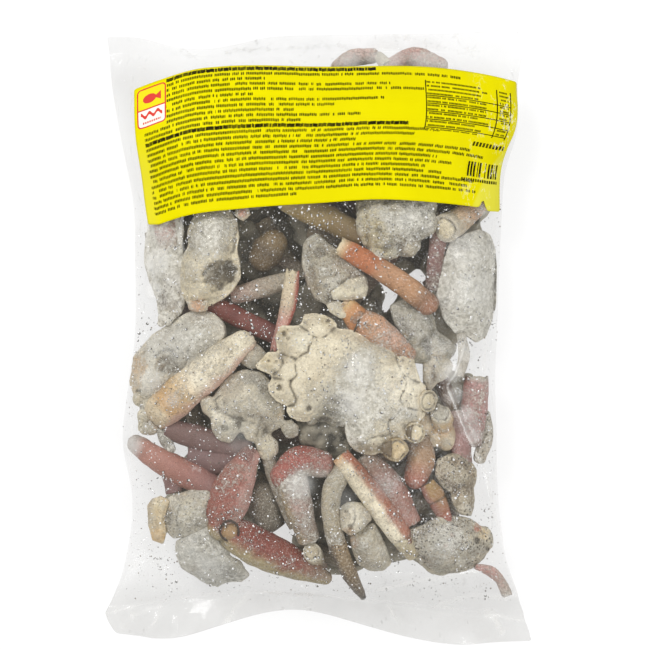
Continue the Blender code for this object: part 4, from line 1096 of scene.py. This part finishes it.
def wrinkleFilm(piece):
    # wrinkles where the film spans a gap, the creases of its folds, and the loose margins
    where = spots(piece)
    free, isFront = getValues(piece, "free"), getValues(piece, "onFront")
    x, y = where[:, 0], where[:, 1]
    pull = np.column_stack([x * 1.6 - y * 0.4, y * 0.7 + x * 0.3, where[:, 2]])
    ridges = 1 - np.abs(rough(pull, 12 * mm, 2)) * 2.2
    fineRidges = 1 - np.abs(rough(pull, 4.5 * mm, 8)) * 2.4
    wrinkle = np.clip(ridges, 0, 1) ** 3 + 0.5 * np.clip(fineRidges, 0, 1) ** 3
    crease = np.zeros(len(where))
    lift = np.zeros(len(where))
    for line, high, wide in creases:
        ridge = np.exp(-((toLine(where, line) / (wide * mm)) ** 2))
        lift = np.maximum(lift, ridge * high * mm)
        crease = np.maximum(crease, ridge * min(high, 1))
    where[:, 2] += isFront * (wrinkle * film["wrinkle"] * (0.25 + 0.75 * free) + lift)
    # the loose margins spread past the filled part
    down = sheet["middle"][1] - y / sheet["unit"]
    rightMove = np.interp(down, *zip(*film["rightMoves"])) * sheet["unit"]
    leftMove = np.interp(down, *zip(*film["leftMoves"])) * sheet["unit"]
    where[:, 0] += rightMove * softStep(x, *film["right"]) + leftMove * softStep(-x, *film["left"])
    where[:, 1] += film["lift"] * softStep(x, *film["liftAcross"]) * softStep(y, *film["liftAlong"])
    moveSpots(piece, where)
    mist = np.zeros(len(where))
    for x, y, radius, amount in mistPatches:
        gap = roundGap(where, onFront(x, y), radius)
        mist = np.maximum(mist, amount * (1 - softStep(gap, 0.3, 1.2)))
    setValues(piece, "mist", mist * isFront)
    setValues(piece, "crease", np.clip(crease * isFront + wrinkle * 0.35 * (0.3 + 0.7 * free), 0, 1))


def makeFilm(contents, label):
    piece = solidCopy(bagSolid, "film")
    modify(piece, "SUBSURF", levels=2, render_levels=2)
    drawTaut(piece, contents, label)
    modify(piece, "SUBSURF", levels=1, render_levels=1)
    wrinkleFilm(piece)
    selectFaces(only(piece), lambda normal: normal.z < 0)
    bpy.ops.mesh.separate(type="SELECTED")
    bpy.ops.object.mode_set(mode="OBJECT")
    backPiece = [o for o in bpy.context.selected_objects if o is not piece][0]
    piece.name = piece.data.name = "filmFront"
    backPiece.name = backPiece.data.name = "filmBack"
    for part in (piece, backPiece):
        part.data.shade_smooth()
    return piece, backPiece


print("label and film")
labelSheet = makeLabel()
filmFront, filmBack = makeFilm(bodyPieces + limbPieces + underPieces + [underBodies], labelSheet)
filmTree = treeOf([filmFront])

# Ice grains and drops are caught under the film, and crumbs of shell among them. Sizes are in mm, sparse
# is the range a spot's cluster noise has to beat, and within the least thickness of the bag there, in mm.
grainSpec = {
    "ice": dict(seed=5, count=3600, small=0.14, large=0.5, left=128, right=500),
    "crumbs": dict(seed=9, count=2600, small=0.10, large=0.36, left=112, right=512, within=0),
    "drops": dict(seed=14, count=1100, small=0.26, large=0.62, left=134, right=496, rounds=2,
                  sparse=(0.0, 0.9)),
}


def scatterGrains(name, seed, count, small, large, left, right, down=(205, 600), rounds=1,
                  sparse=(-0.6, 0.8), within=9):
    pick = random.Random(seed)
    bpy.ops.mesh.primitive_ico_sphere_add(subdivisions=rounds, radius=1)
    blank = bpy.context.object
    shape = spots(blank)
    faces = [tuple(p.vertices) for p in blank.data.polygons]
    bpy.data.objects.remove(blank)
    places, allFaces, paintedGlint = [], [], []
    while len(places) < count:
        x, y = pick.uniform(left, right), pick.uniform(*down)
        cluster = noise.noise(Vector((x / 26, y / 26, seed)))
        cluster += 0.6 * noise.noise(Vector((x / 8, y / 8, seed + 3)))
        spot = onPlan(x, y)
        if cluster < pick.uniform(*sparse) or frontAt(*spot) - backAt(*spot) < within * mm:
            continue
        hit = castDown(filmTree, spot.x, spot.y)
        if not hit:
            continue
        size = (small + (large - small) * pick.random() ** 3) * mm
        stretch = np.array((pick.uniform(0.6, 1.6), pick.uniform(0.6, 1.6), 0.7)) * size
        turn = pick.uniform(0, math.pi)
        cosine, sine = math.cos(turn), math.sin(turn)
        spin = np.array([[cosine, -sine, 0], [sine, cosine, 0], [0, 0, 1]])
        allFaces.extend(tuple(len(places) * len(shape) + i for i in face) for face in faces)
        places.append(shape * stretch @ spin.T + np.array((hit.x, hit.y, hit.z - size * 0.8 - 0.2 * mm)))
        # Painted glint: bright near the top and pushed to one side, with a painted dark rim round the rest.
        lean = shape[:, 0] * math.cos(turn * 2) + shape[:, 1] * math.sin(turn * 2)
        paintedGlint.append(softStep(shape[:, 2] * 0.8 + lean * 0.7, 0.6, 0.95))
    mesh = bpy.data.meshes.new(name)
    mesh.from_pydata(np.concatenate(places).tolist(), [], allFaces)
    grains = bpy.data.objects.new(name, mesh)
    bpy.context.collection.objects.link(grains)
    setValues(grains, "paintedGlint", np.concatenate(paintedGlint))
    return grains


print("ice grains")
iceGrains = scatterGrains("iceGrains", **grainSpec["ice"])
shellCrumbs = scatterGrains("shellCrumbs", **grainSpec["crumbs"])
iceDrops = scatterGrains("iceDrops", **grainSpec["drops"])

# one piece for each kind
crabBodies = joinAll(bodyPieces, "crabBodies")
crabLimbs = joinAll(limbPieces, "crabLimbs")
underLimbs = joinAll(underPieces, "underLimbs")
for blank in blanks.values():
    bpy.data.objects.remove(blank)

# Frost lies where it fell, in patches on the plan: (x, y, radius in mm, amount).
frostHeight = 0.04
frostPatches = [
    (354, 384, 11, 0.6), (364, 404, 12, 0.9), (357, 428, 9, 0.9), (362, 362, 9, 0.7), (343, 396, 7, 0.4),
    (382, 350, 5, 0.3), (212, 226, 12, 0.75), (206, 246, 7, 0.4), (158, 256, 14, 0.7), (192, 338, 9, 0.7),
    (176, 390, 5, 0.3), (412, 222, 8, 0.7), (388, 214, 5, 0.4), (468, 282, 30, 0.5), (446, 545, 12, 0.25),
    (226, 474, 6, 0.2), (402, 412, 7, 0.4), (150, 346, 6, 0.5), (300, 486, 8, 0.4),
]
for piece in (crabBodies, crabLimbs):
    where = spots(piece)
    amount = getValues(piece, "frost")
    for x, y, radius, strength in frostPatches:
        gap = roundGap(where, place(x, y, frostHeight), radius)
        amount = amount + strength * np.exp(-(gap ** 2)) * (1 - 0.5 * np.clip(amount, 0, 1))
    setValues(piece, "frost", np.clip(amount, -1, 1))


class Wire:
    # one socket of a material's nodes, so that shader maths reads as sums
    def __init__(self, tree, socket):
        self.tree = tree
        self.socket = socket

    def plug(self, slot, value):
        if isinstance(value, Wire):
            self.tree.links.new(value.socket, slot)
        else:
            slot.default_value = value

    def math(self, operation, *values, clamp=False):
        node = self.tree.nodes.new("ShaderNodeMath")
        node.operation = operation
        node.use_clamp = clamp
        for slot, value in zip(node.inputs, values):
            self.plug(slot, value)
        return Wire(self.tree, node.outputs[0])

    def __add__(self, other):
        return self.math("ADD", self, other)

    def __radd__(self, other):
        return self.math("ADD", other, self)

    def __sub__(self, other):
        return self.math("SUBTRACT", self, other)

    def __rsub__(self, other):
        return self.math("SUBTRACT", other, self)

    def __mul__(self, other):
        return self.math("MULTIPLY", self, other)

    def __rmul__(self, other):
        return self.math("MULTIPLY", other, self)

    def __gt__(self, other):
        return self.math("GREATER_THAN", self, other)

    def __lt__(self, other):
        return self.math("LESS_THAN", self, other)

    def floor(self):
        return self.math("FLOOR", self)

    def part(self):
        return self.math("FRACT", self)

    def size(self):
        return self.math("ABSOLUTE", self)

    def clip(self):
        return self.math("ADD", self, 0.0, clamp=True)

    def most(self, other):
        return self.math("MAXIMUM", self, other)

    def inside(self, low, high):
        return (self > low) * (self < high)

    def ramp(self, low, high):
        # smoothly from 0 at low to 1 at high
        node = self.tree.nodes.new("ShaderNodeMapRange")
        node.interpolation_type = "SMOOTHSTEP"
        self.plug(node.inputs["Value"], self)
        node.inputs["From Min"].default_value = low
        node.inputs["From Max"].default_value = high
        return Wire(self.tree, node.outputs["Result"])


class Finish:
    def __init__(self, name):
        self.material = bpy.data.materials.new(name)
        self.material.use_nodes = True
        self.tree = self.material.node_tree
        self.shader = self.tree.nodes["Principled BSDF"]

    def node(self, kind, settings=None, inputs=None, out=0):
        node = self.tree.nodes.new("ShaderNode" + kind)
        for key, value in (settings or {}).items():
            setattr(node, key, value)
        for key, value in (inputs or {}).items():
            Wire(self.tree, None).plug(node.inputs[key], value)
        return Wire(self.tree, node.outputs[out])

    def place(self):
        return self.node("TexCoord", out="Object")

    def stretched(self, scale, turn):
        # places turned about the view, with patterns drawn out along one way
        inputs = {"Vector": self.place(), "Scale": (1.0, scale, 1.0), "Rotation": (0, 0, turn)}
        return self.node("Mapping", inputs=inputs)

    def axes(self, vector):
        # the first and the second value of a vector
        outputs = self.node("SeparateXYZ", inputs={"Vector": vector}).socket.node.outputs
        return Wire(self.tree, outputs[0]), Wire(self.tree, outputs[1])

    def noise(self, size, detail=3.0, rough=0.55, where=None):
        inputs = {"Scale": 1 / size, "Detail": detail, "Roughness": rough, "Vector": where or self.place()}
        return self.node("TexNoise", inputs=inputs, out="Fac")

    def cells(self, size):
        # distance to the nearest of scattered points, in cells
        return self.node("TexVoronoi", inputs={"Scale": 1 / size, "Vector": self.place()}, out="Distance")

    def cellShade(self, size):
        # a random shade from 0 to 1 for each cell
        cell = self.node("TexVoronoi", inputs={"Scale": 1 / size, "Vector": self.place()}, out="Color")
        return self.node("SeparateXYZ", inputs={"Vector": cell})

    def chance(self, x, y):
        # a number from 0 to 1 for each pair of whole numbers
        spot = self.node("CombineXYZ", inputs={"X": x, "Y": y})
        return self.node("TexWhiteNoise", {"noise_dimensions": "2D"}, {"Vector": spot}, out="Value")

    def mix(self, share, first, second, blend="MIX"):
        node = self.tree.nodes.new("ShaderNodeMix")
        node.data_type = "RGBA"
        node.blend_type = blend
        for slot, value in ((0, share), (6, first), (7, second)):
            colour = (*value, 1.0) if isinstance(value, tuple) else value
            Wire(self.tree, None).plug(node.inputs[slot], colour)
        return Wire(self.tree, node.outputs[2])

    def steps(self, where, levels):
        # a value that changes in steps: (from, value)
        node = self.tree.nodes.new("ShaderNodeValToRGB")
        node.color_ramp.interpolation = "CONSTANT"
        while len(node.color_ramp.elements) < len(levels):
            node.color_ramp.elements.new(0.5)
        for stop, (start, value) in zip(node.color_ramp.elements, levels):
            stop.position = start
        for stop, (start, value) in zip(node.color_ramp.elements, levels):
            stop.position = start
            stop.color = (value, value, value, 1)
        Wire(self.tree, None).plug(node.inputs["Fac"], where)
        return Wire(self.tree, node.outputs["Color"])

    def attribute(self, name, out="Fac"):
        return self.node("Attribute", {"attribute_name": name}, out=out)

    def bump(self, height, distance, strength=1.0):
        return self.node("Bump", inputs={"Height": height, "Distance": distance, "Strength": strength})

    def set(self, **sockets):
        for key, value in sockets.items():
            value = (*value, 1.0) if isinstance(value, tuple) else value
            Wire(self.tree, None).plug(self.shader.inputs[key.replace("_", " ")], value)
        return self.material


def shellFinish():
    look = Finish("crabShell")
    tint = look.attribute("tint", "Color")
    frost, reliefShadeAndJoints, speck = (look.attribute(name) for name in ("frost", "reliefShadeAndJoints", "speck"))
    broad, fine, dust = look.noise(11 * mm, 4), look.noise(2.4 * mm, 5, 0.7), look.noise(1.1 * mm, 2, 0.7)
    grain = look.cellShade(0.62 * mm)
    harsh = (0.3 + frost * 1.1 + speck * 0.5).clip()
    colour = look.mix(broad.ramp(0.42, 0.7) * 0.35, tint, rgb(210, 194, 166), "MULTIPLY")
    colour = look.mix(fine.ramp(0.48, 0.66) * harsh * 0.42, colour, rgb(160, 144, 122), "MULTIPLY")
    colour = look.mix(dust.ramp(0.5, 0.66) * harsh * 0.5, colour, rgb(140, 126, 106), "MULTIPLY")
    colour = look.mix((1 - dust.ramp(0.32, 0.48)) * harsh * 0.4, colour, rgb(252, 246, 232))
    colour = look.mix(1.0, colour, grain * 0.2 + 0.91, "MULTIPLY")
    dots = (1 - look.cells(1.7 * mm).ramp(0.2, 0.34)) * broad.ramp(0.38, 0.56) * speck
    pits = (1 - look.cells(2.3 * mm).ramp(0.07, 0.16)) * (0.35 + 0.65 * speck)
    colour = look.mix(dots.most(pits) * 0.8, colour, rgb(66, 58, 48))
    # Painted shade in hollows, cracks and dents, with the dark joints; then a painted highlight on the
    # ridges.
    colour = look.mix((reliefShadeAndJoints * (0.65 + fine * 0.5)).clip() * 0.85, colour, rgb(74, 66, 52))
    colour = look.mix((0 - reliefShadeAndJoints).clip() * 0.35, colour, rgb(236, 226, 200))
    crust = frost * 1.15 + (broad - 0.5) * 1.3 + (fine - 0.5) * 1.3
    crust = (crust + (dust - 0.5) * 1.0 + (grain - 0.5) * 0.45).ramp(0.14, 0.95)
    white = look.mix(fine.ramp(0.35, 0.65), rgb(180, 176, 163), rgb(233, 230, 220))
    white = look.mix(1.0, white, grain * 0.16 + 0.92, "MULTIPLY")
    colour = look.mix(crust * 0.85, colour, white)
    colour = look.mix((dots * 0.5).clip() * 0.75, colour, rgb(84, 76, 64))
    height = fine * 0.6 + dust * 0.5 + grain * 0.12 + crust * 0.8 - dots.most(pits) * 0.5
    return look.set(Base_Color=colour, Roughness=0.5 + crust * 0.3, Normal=look.bump(height, 0.8 * mm, 0.9))


def filmFinish():
    look = Finish("clearFilm")
    crease, mist = look.attribute("crease"), look.attribute("mist")
    broad, fine = look.noise(24 * mm, 4), look.noise(1.6 * mm, 4, 0.65)
    scratch = look.noise(4 * mm, 4, 0.6, look.stretched(0.3, 0.5)).ramp(0.62, 0.74)
    veil = mist * (0.55 + 0.9 * look.noise(5 * mm, 5, 0.7))
    across, along = look.axes(look.place())
    # the lower flap shows more than the rest, the upper one less, and the upper left corner a little more
    down, up = 1 - along.ramp(-0.138, -0.114), along.ramp(0.13, 0.145)
    corner = along.ramp(0.105, 0.135) * (1 - across.ramp(-0.102, -0.07))
    alpha = 0.085 + down * 0.088 - up * 0.045 + corner * 0.05 + broad.ramp(0.45, 0.75) * 0.03
    # Creases turn whiter and more opaque, as a painted highlight along the folds; the mist veil is frost
    # haze.
    alpha = (alpha + scratch * 0.10 + crease.ramp(0.4, 1.0) * 0.22 + veil * 0.6).clip()
    white = (crease.ramp(0.3, 0.9) * 0.8).most(veil.ramp(0.0, 0.4))
    tone = look.mix(white, rgb(142, 139, 130), rgb(230, 229, 224))
    bump = look.bump(fine * 0.8 + scratch * 0.4, 0.5 * mm, 0.5)
    return look.set(Base_Color=tone, Roughness=0.1 + down * 0.3, Alpha=alpha, IOR=2.0, Coat_Weight=1.0,
                    Coat_Roughness=0.05, Normal=bump)


def grainFinish():
    look = Finish("iceGrain")
    alpha = 0.55 + look.noise(3 * mm) * 0.5
    return look.set(Base_Color=rgb(244, 245, 245), Roughness=0.08, Alpha=alpha, IOR=1.9)


def dropFinish():
    look = Finish("iceDrop")
    paintedGlint = look.attribute("paintedGlint")
    # Painted glint on each drop, white where the glint is and dark at the rim as painted shade.
    colour = look.mix(paintedGlint, rgb(70, 66, 56), rgb(250, 250, 250))
    return look.set(Base_Color=colour, Roughness=0.1, Alpha=0.75 + paintedGlint * 0.25, IOR=1.7)


def crumbFinish():
    look = Finish("shellCrumb")
    colour = look.mix(look.noise(6 * mm).ramp(0.4, 0.6), rgb(74, 66, 56), rgb(128, 112, 92))
    return look.set(Base_Color=colour, Roughness=0.5)


# The print is generic. Rows of dashes: where each ends and the rows' pitch, in shares of the sheet. Box: a
# ruled box with finer rows. Badge: its middle in shares, half its straight sides in mm, and the squares of
# its frame's inner and outer corner radius.
labelPrint = {
    "wide": 190.0, "high": 70.0, "pitch": 0.0375, "firstRow": 0.006, "rowSteps": 32,
    "rowEnds": [
        0.63, 0.85, 0.35, 0.67, 0.755, 0.31, 0.65, 0.52, 0.42, 0.59, 0.435, 0.715, 0.80, 0.735, 0.59, 0.90,
        0.94, 0.823, 0.857, 0.785, 0.833, 0.925, 0.905, 0.93, 0.43,
    ],
    "box": (0.757, 0.982, 0.105, 0.475), "column": 0.944, "boxLines": 34.0,
    "badge": (0.046, 0.168), "badgeHalf": (5.2, 7.9), "badgeEdges": (2.0, 4.4),
}


def paperFinish():
    look = Finish("yellowPaper")
    spec = labelPrint
    across, up = look.axes(look.node("UVMap"))
    down = 1 - up
    long = across * spec["wide"]  # mm from the left edge
    # rows of print as small dashes
    rows = (down - spec["firstRow"]) * (1 / spec["pitch"])
    row, rowPart = rows.floor(), rows.part()
    wave = (look.chance((long * 1.3).floor(), row) - 0.5) * 0.14
    stroke = (look.chance((long * 1.15).floor(), row) > 0.06) * ((long * 1.15).part() < 0.72)
    words = look.chance(((long + row * 3.7) * 0.8).floor(), row + 40) > 0.09
    count = spec["rowSteps"]
    levels = [(n / count, end) for n, end in enumerate([*spec["rowEnds"], 0])]
    end = look.steps(rows * (1 / count), levels)
    begin = 0.085 - (rows > 9) * 0.06
    bold = rows.inside(0, 1).most(rows.inside(11, 12))
    inRow = (rowPart - 0.5 + wave).size() < 0.27 + bold * 0.08
    inRow = inRow * (across > begin) * (across < end) * (rows > 0)
    ink = inRow * words.most(bold) * (stroke.most(bold * ((long * 0.7).part() < 0.8)))
    # the ruled box at the right, with finer rows inside
    boxLeft, boxRight, boxTop, boxFoot = spec["box"]
    inBox = across.inside(boxLeft, boxRight) * down.inside(boxTop, boxFoot)
    lines = (down - boxTop) * spec["boxLines"]
    rules = (((lines * 0.5).part() - 0.5).size() > 0.44) * (down > boxTop + 0.1)
    outer = ((across - boxLeft).size() < 0.003).most((across - boxRight).size() < 0.003)
    sides = ((across - spec["column"]).size() < 0.0016).most(outer)
    finePrint = (lines.part() - 0.5).size() < 0.24
    finePrint = finePrint * (look.chance((long * 1.5).floor(), lines.floor() + 90) > 0.16)
    finePrint = finePrint * ((long * 1.5).part() < 0.75)
    lastColumn = across.inside(0.95, 0.975) * (look.chance(lines.floor(), 3.0) > 0.4)
    finePrint = finePrint * (across < 0.925 - look.chance(lines.floor(), 7.0) * 0.04).most(lastColumn)
    box = inBox * rules.most(sides).most(finePrint)
    # one larger short row, plain bars and a fine row under them
    large = across.inside(0.9, 0.99) * down.inside(0.52, 0.552) * ((long * 0.55).part() < 0.68)
    bars = look.chance((long * 1.9).floor(), 11.0) > 0.45
    bars = bars * across.inside(0.9, 0.988) * down.inside(0.665, 0.775)
    under = across.inside(0.888, 0.99) * down.inside(0.79, 0.812) * ((long * 0.8).part() < 0.7)
    ink = (ink * (1 - inBox)).most(box).most(large).most(bars).most(under)
    fade = look.noise(9 * mm, 3).ramp(0.2, 0.6)
    yellow = look.mix(look.noise(30 * mm, 2).ramp(0.3, 0.7), rgb(221, 210, 0), rgb(216, 205, 0))
    # past a slanting fold at the right, and along the left edge, the paper is paler
    paleFold = (across + down * 0.16).ramp(1.075, 1.085) * (down > 0.55)
    yellow = look.mix(paleFold * 0.55, yellow, rgb(218, 214, 84))
    leftEdge = (1 - across.ramp(0.01, 0.05)) * down.ramp(0.3, 0.6) * 0.5
    yellow = look.mix(leftEdge, yellow, rgb(218, 208, 62))
    colour = look.mix(ink * (0.8 + fade * 0.2), yellow, rgb(34, 31, 6))
    # a badge outlined in red: a plain red fish above, a thick wave and a row of dashes on white below
    x, y = (across - spec["badge"][0]) * spec["wide"], (down - spec["badge"][1]) * spec["high"]
    pastX, pastY = ((value.size() - half).most(0.0) for value, half in zip((x, y), spec["badgeHalf"]))
    past = pastX * pastX + pastY * pastY
    badge, frameLine = past < spec["badgeEdges"][1], past > spec["badgeEdges"][0]
    fish = ((x + 0.9) * (x + 0.9) * 0.09 + (y + 4.1) * (y + 4.1) * 0.19) < 1.0
    tail = x.inside(1.6, 4.8) * ((y + 4.1).size() < (x - 1.2) * 0.62)
    swell = ((y - 4.0 - x.math("SINE", x * 1.5) * 0.9).size() < 0.85) * (x.size() < 5.4)
    dashes = ((y - 7.6).size() < 0.5) * ((x * 0.9).part() < 0.66) * (x.size() < 4.8)
    red = frameLine.most(fish).most(tail).most(swell).most(dashes).most((y - 0.9).size() < 0.35)
    colour = look.mix(badge, colour, look.mix(y > 0.9, rgb(222, 210, 30), rgb(236, 232, 220)))
    colour = look.mix(badge * red, colour, rgb(206, 66, 56))
    # thin pale streaks over the right part of the paper
    paleStreak = (look.noise(3.2 * mm, 5, 0.6, look.stretched(0.45, -0.3)) - 0.5).size()
    paleStreak = (1 - paleStreak.ramp(0.0, 0.03)) * across.ramp(0.86, 0.97) * look.noise(8 * mm).ramp(0.5, 0.62)
    colour = look.mix(paleStreak * 0.85, colour, rgb(248, 246, 214))
    height = look.noise(12 * mm, 4) * 0.6 + paleStreak * 0.4 + look.noise(1.5 * mm, 2) * 0.08
    bump = look.bump(height, 0.5 * mm, 0.35)
    return look.set(Base_Color=colour, Roughness=0.5, Specular_IOR_Level=0.03, Normal=bump)


def floorFinish():
    look = Finish("paleFloor")
    return look.set(Base_Color=(0.25, 0.25, 0.25), Roughness=0.7, Emission_Color=(1.0, 1.0, 1.0),
                    Emission_Strength=0.74)


print("finishes")
shell = shellFinish()
clearFilm = filmFinish()
# what each piece is made of, its slot, and the part of the CAD it stands for
dress = [
    (crabBodies, shell, "crab_shell", "bag"),
    (crabLimbs, shell, "crab_shell", "bag"),
    (underLimbs, shell, "crab_shell", "bag"),
    (underBodies, shell, "crab_shell", "bag"),
    (iceGrains, grainFinish(), "ice", "bag"),
    (iceDrops, dropFinish(), "ice", "bag"),
    (shellCrumbs, crumbFinish(), "crab_shell", "bag"),
    (filmFront, clearFilm, "film", "bag"),
    (filmBack, clearFilm, "film", "bag"),
    (labelSheet, paperFinish(), "label", "label"),
]
for piece, finish, slot, node in dress:
    piece.data.materials.clear()
    piece.data.materials.append(finish)
    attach(piece, "root")
    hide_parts(node)

studio = {"floorSize": 4, "floorLevel": -0.0004, "light": 0.6, "aim": (0, 0, 0.03)}
bpy.ops.mesh.primitive_plane_add(size=studio["floorSize"], location=(0, 0, studio["floorLevel"]))
floor = settle(bpy.context.object)
floor.name = "floor"
floor.data.materials.append(floorFinish())

world = bpy.data.worlds.new("studio")
bpy.context.scene.world = world
world.use_nodes = True
background = world.node_tree.nodes["Background"]
background.inputs["Color"].default_value = (1, 1, 1, 1)
background.inputs["Strength"].default_value = studio["light"]
lights = {
    "key": dict(at=(-0.55, 0.6, 0.95), size=0.5, power=8.5),
    "fill": dict(at=(0.65, -0.3, 0.9), size=0.6, power=4.2),
    "spark": dict(at=(0.12, 0.28, 1.35), size=0.09, power=0.7),
}
for name, light in lights.items():
    data = bpy.data.lights.new(name, "AREA")
    data.energy = light["power"]
    data.size = light["size"]
    lamp = bpy.data.objects.new(name, data)
    lamp.location = light["at"]
    aim = Vector(light["at"]) - Vector(studio["aim"])
    lamp.rotation_euler = aim.to_track_quat("Z", "Y").to_euler()
    bpy.context.collection.objects.link(lamp)

eye = onPlan(*sheet["camera"])
cameraData = bpy.data.cameras.new("camera")
cameraData.sensor_width = camera["sensor"]
distance = camera["height"] - camera["planeHeight"]
cameraData.lens = camera["sensor"] * distance / (sheet["wide"] * sheet["unit"])
cameraData.clip_start = 0.1
cameraObject = bpy.data.objects.new("camera", cameraData)
cameraObject.location = (eye.x, eye.y, camera["height"])
bpy.context.collection.objects.link(cameraObject)
bpy.context.scene.camera = cameraObject
bpy.context.scene.view_settings.view_transform = "Standard"

for piece, *_ in dress:
    print(piece.name, sum(len(p.vertices) - 2 for p in piece.data.polygons), "triangles")
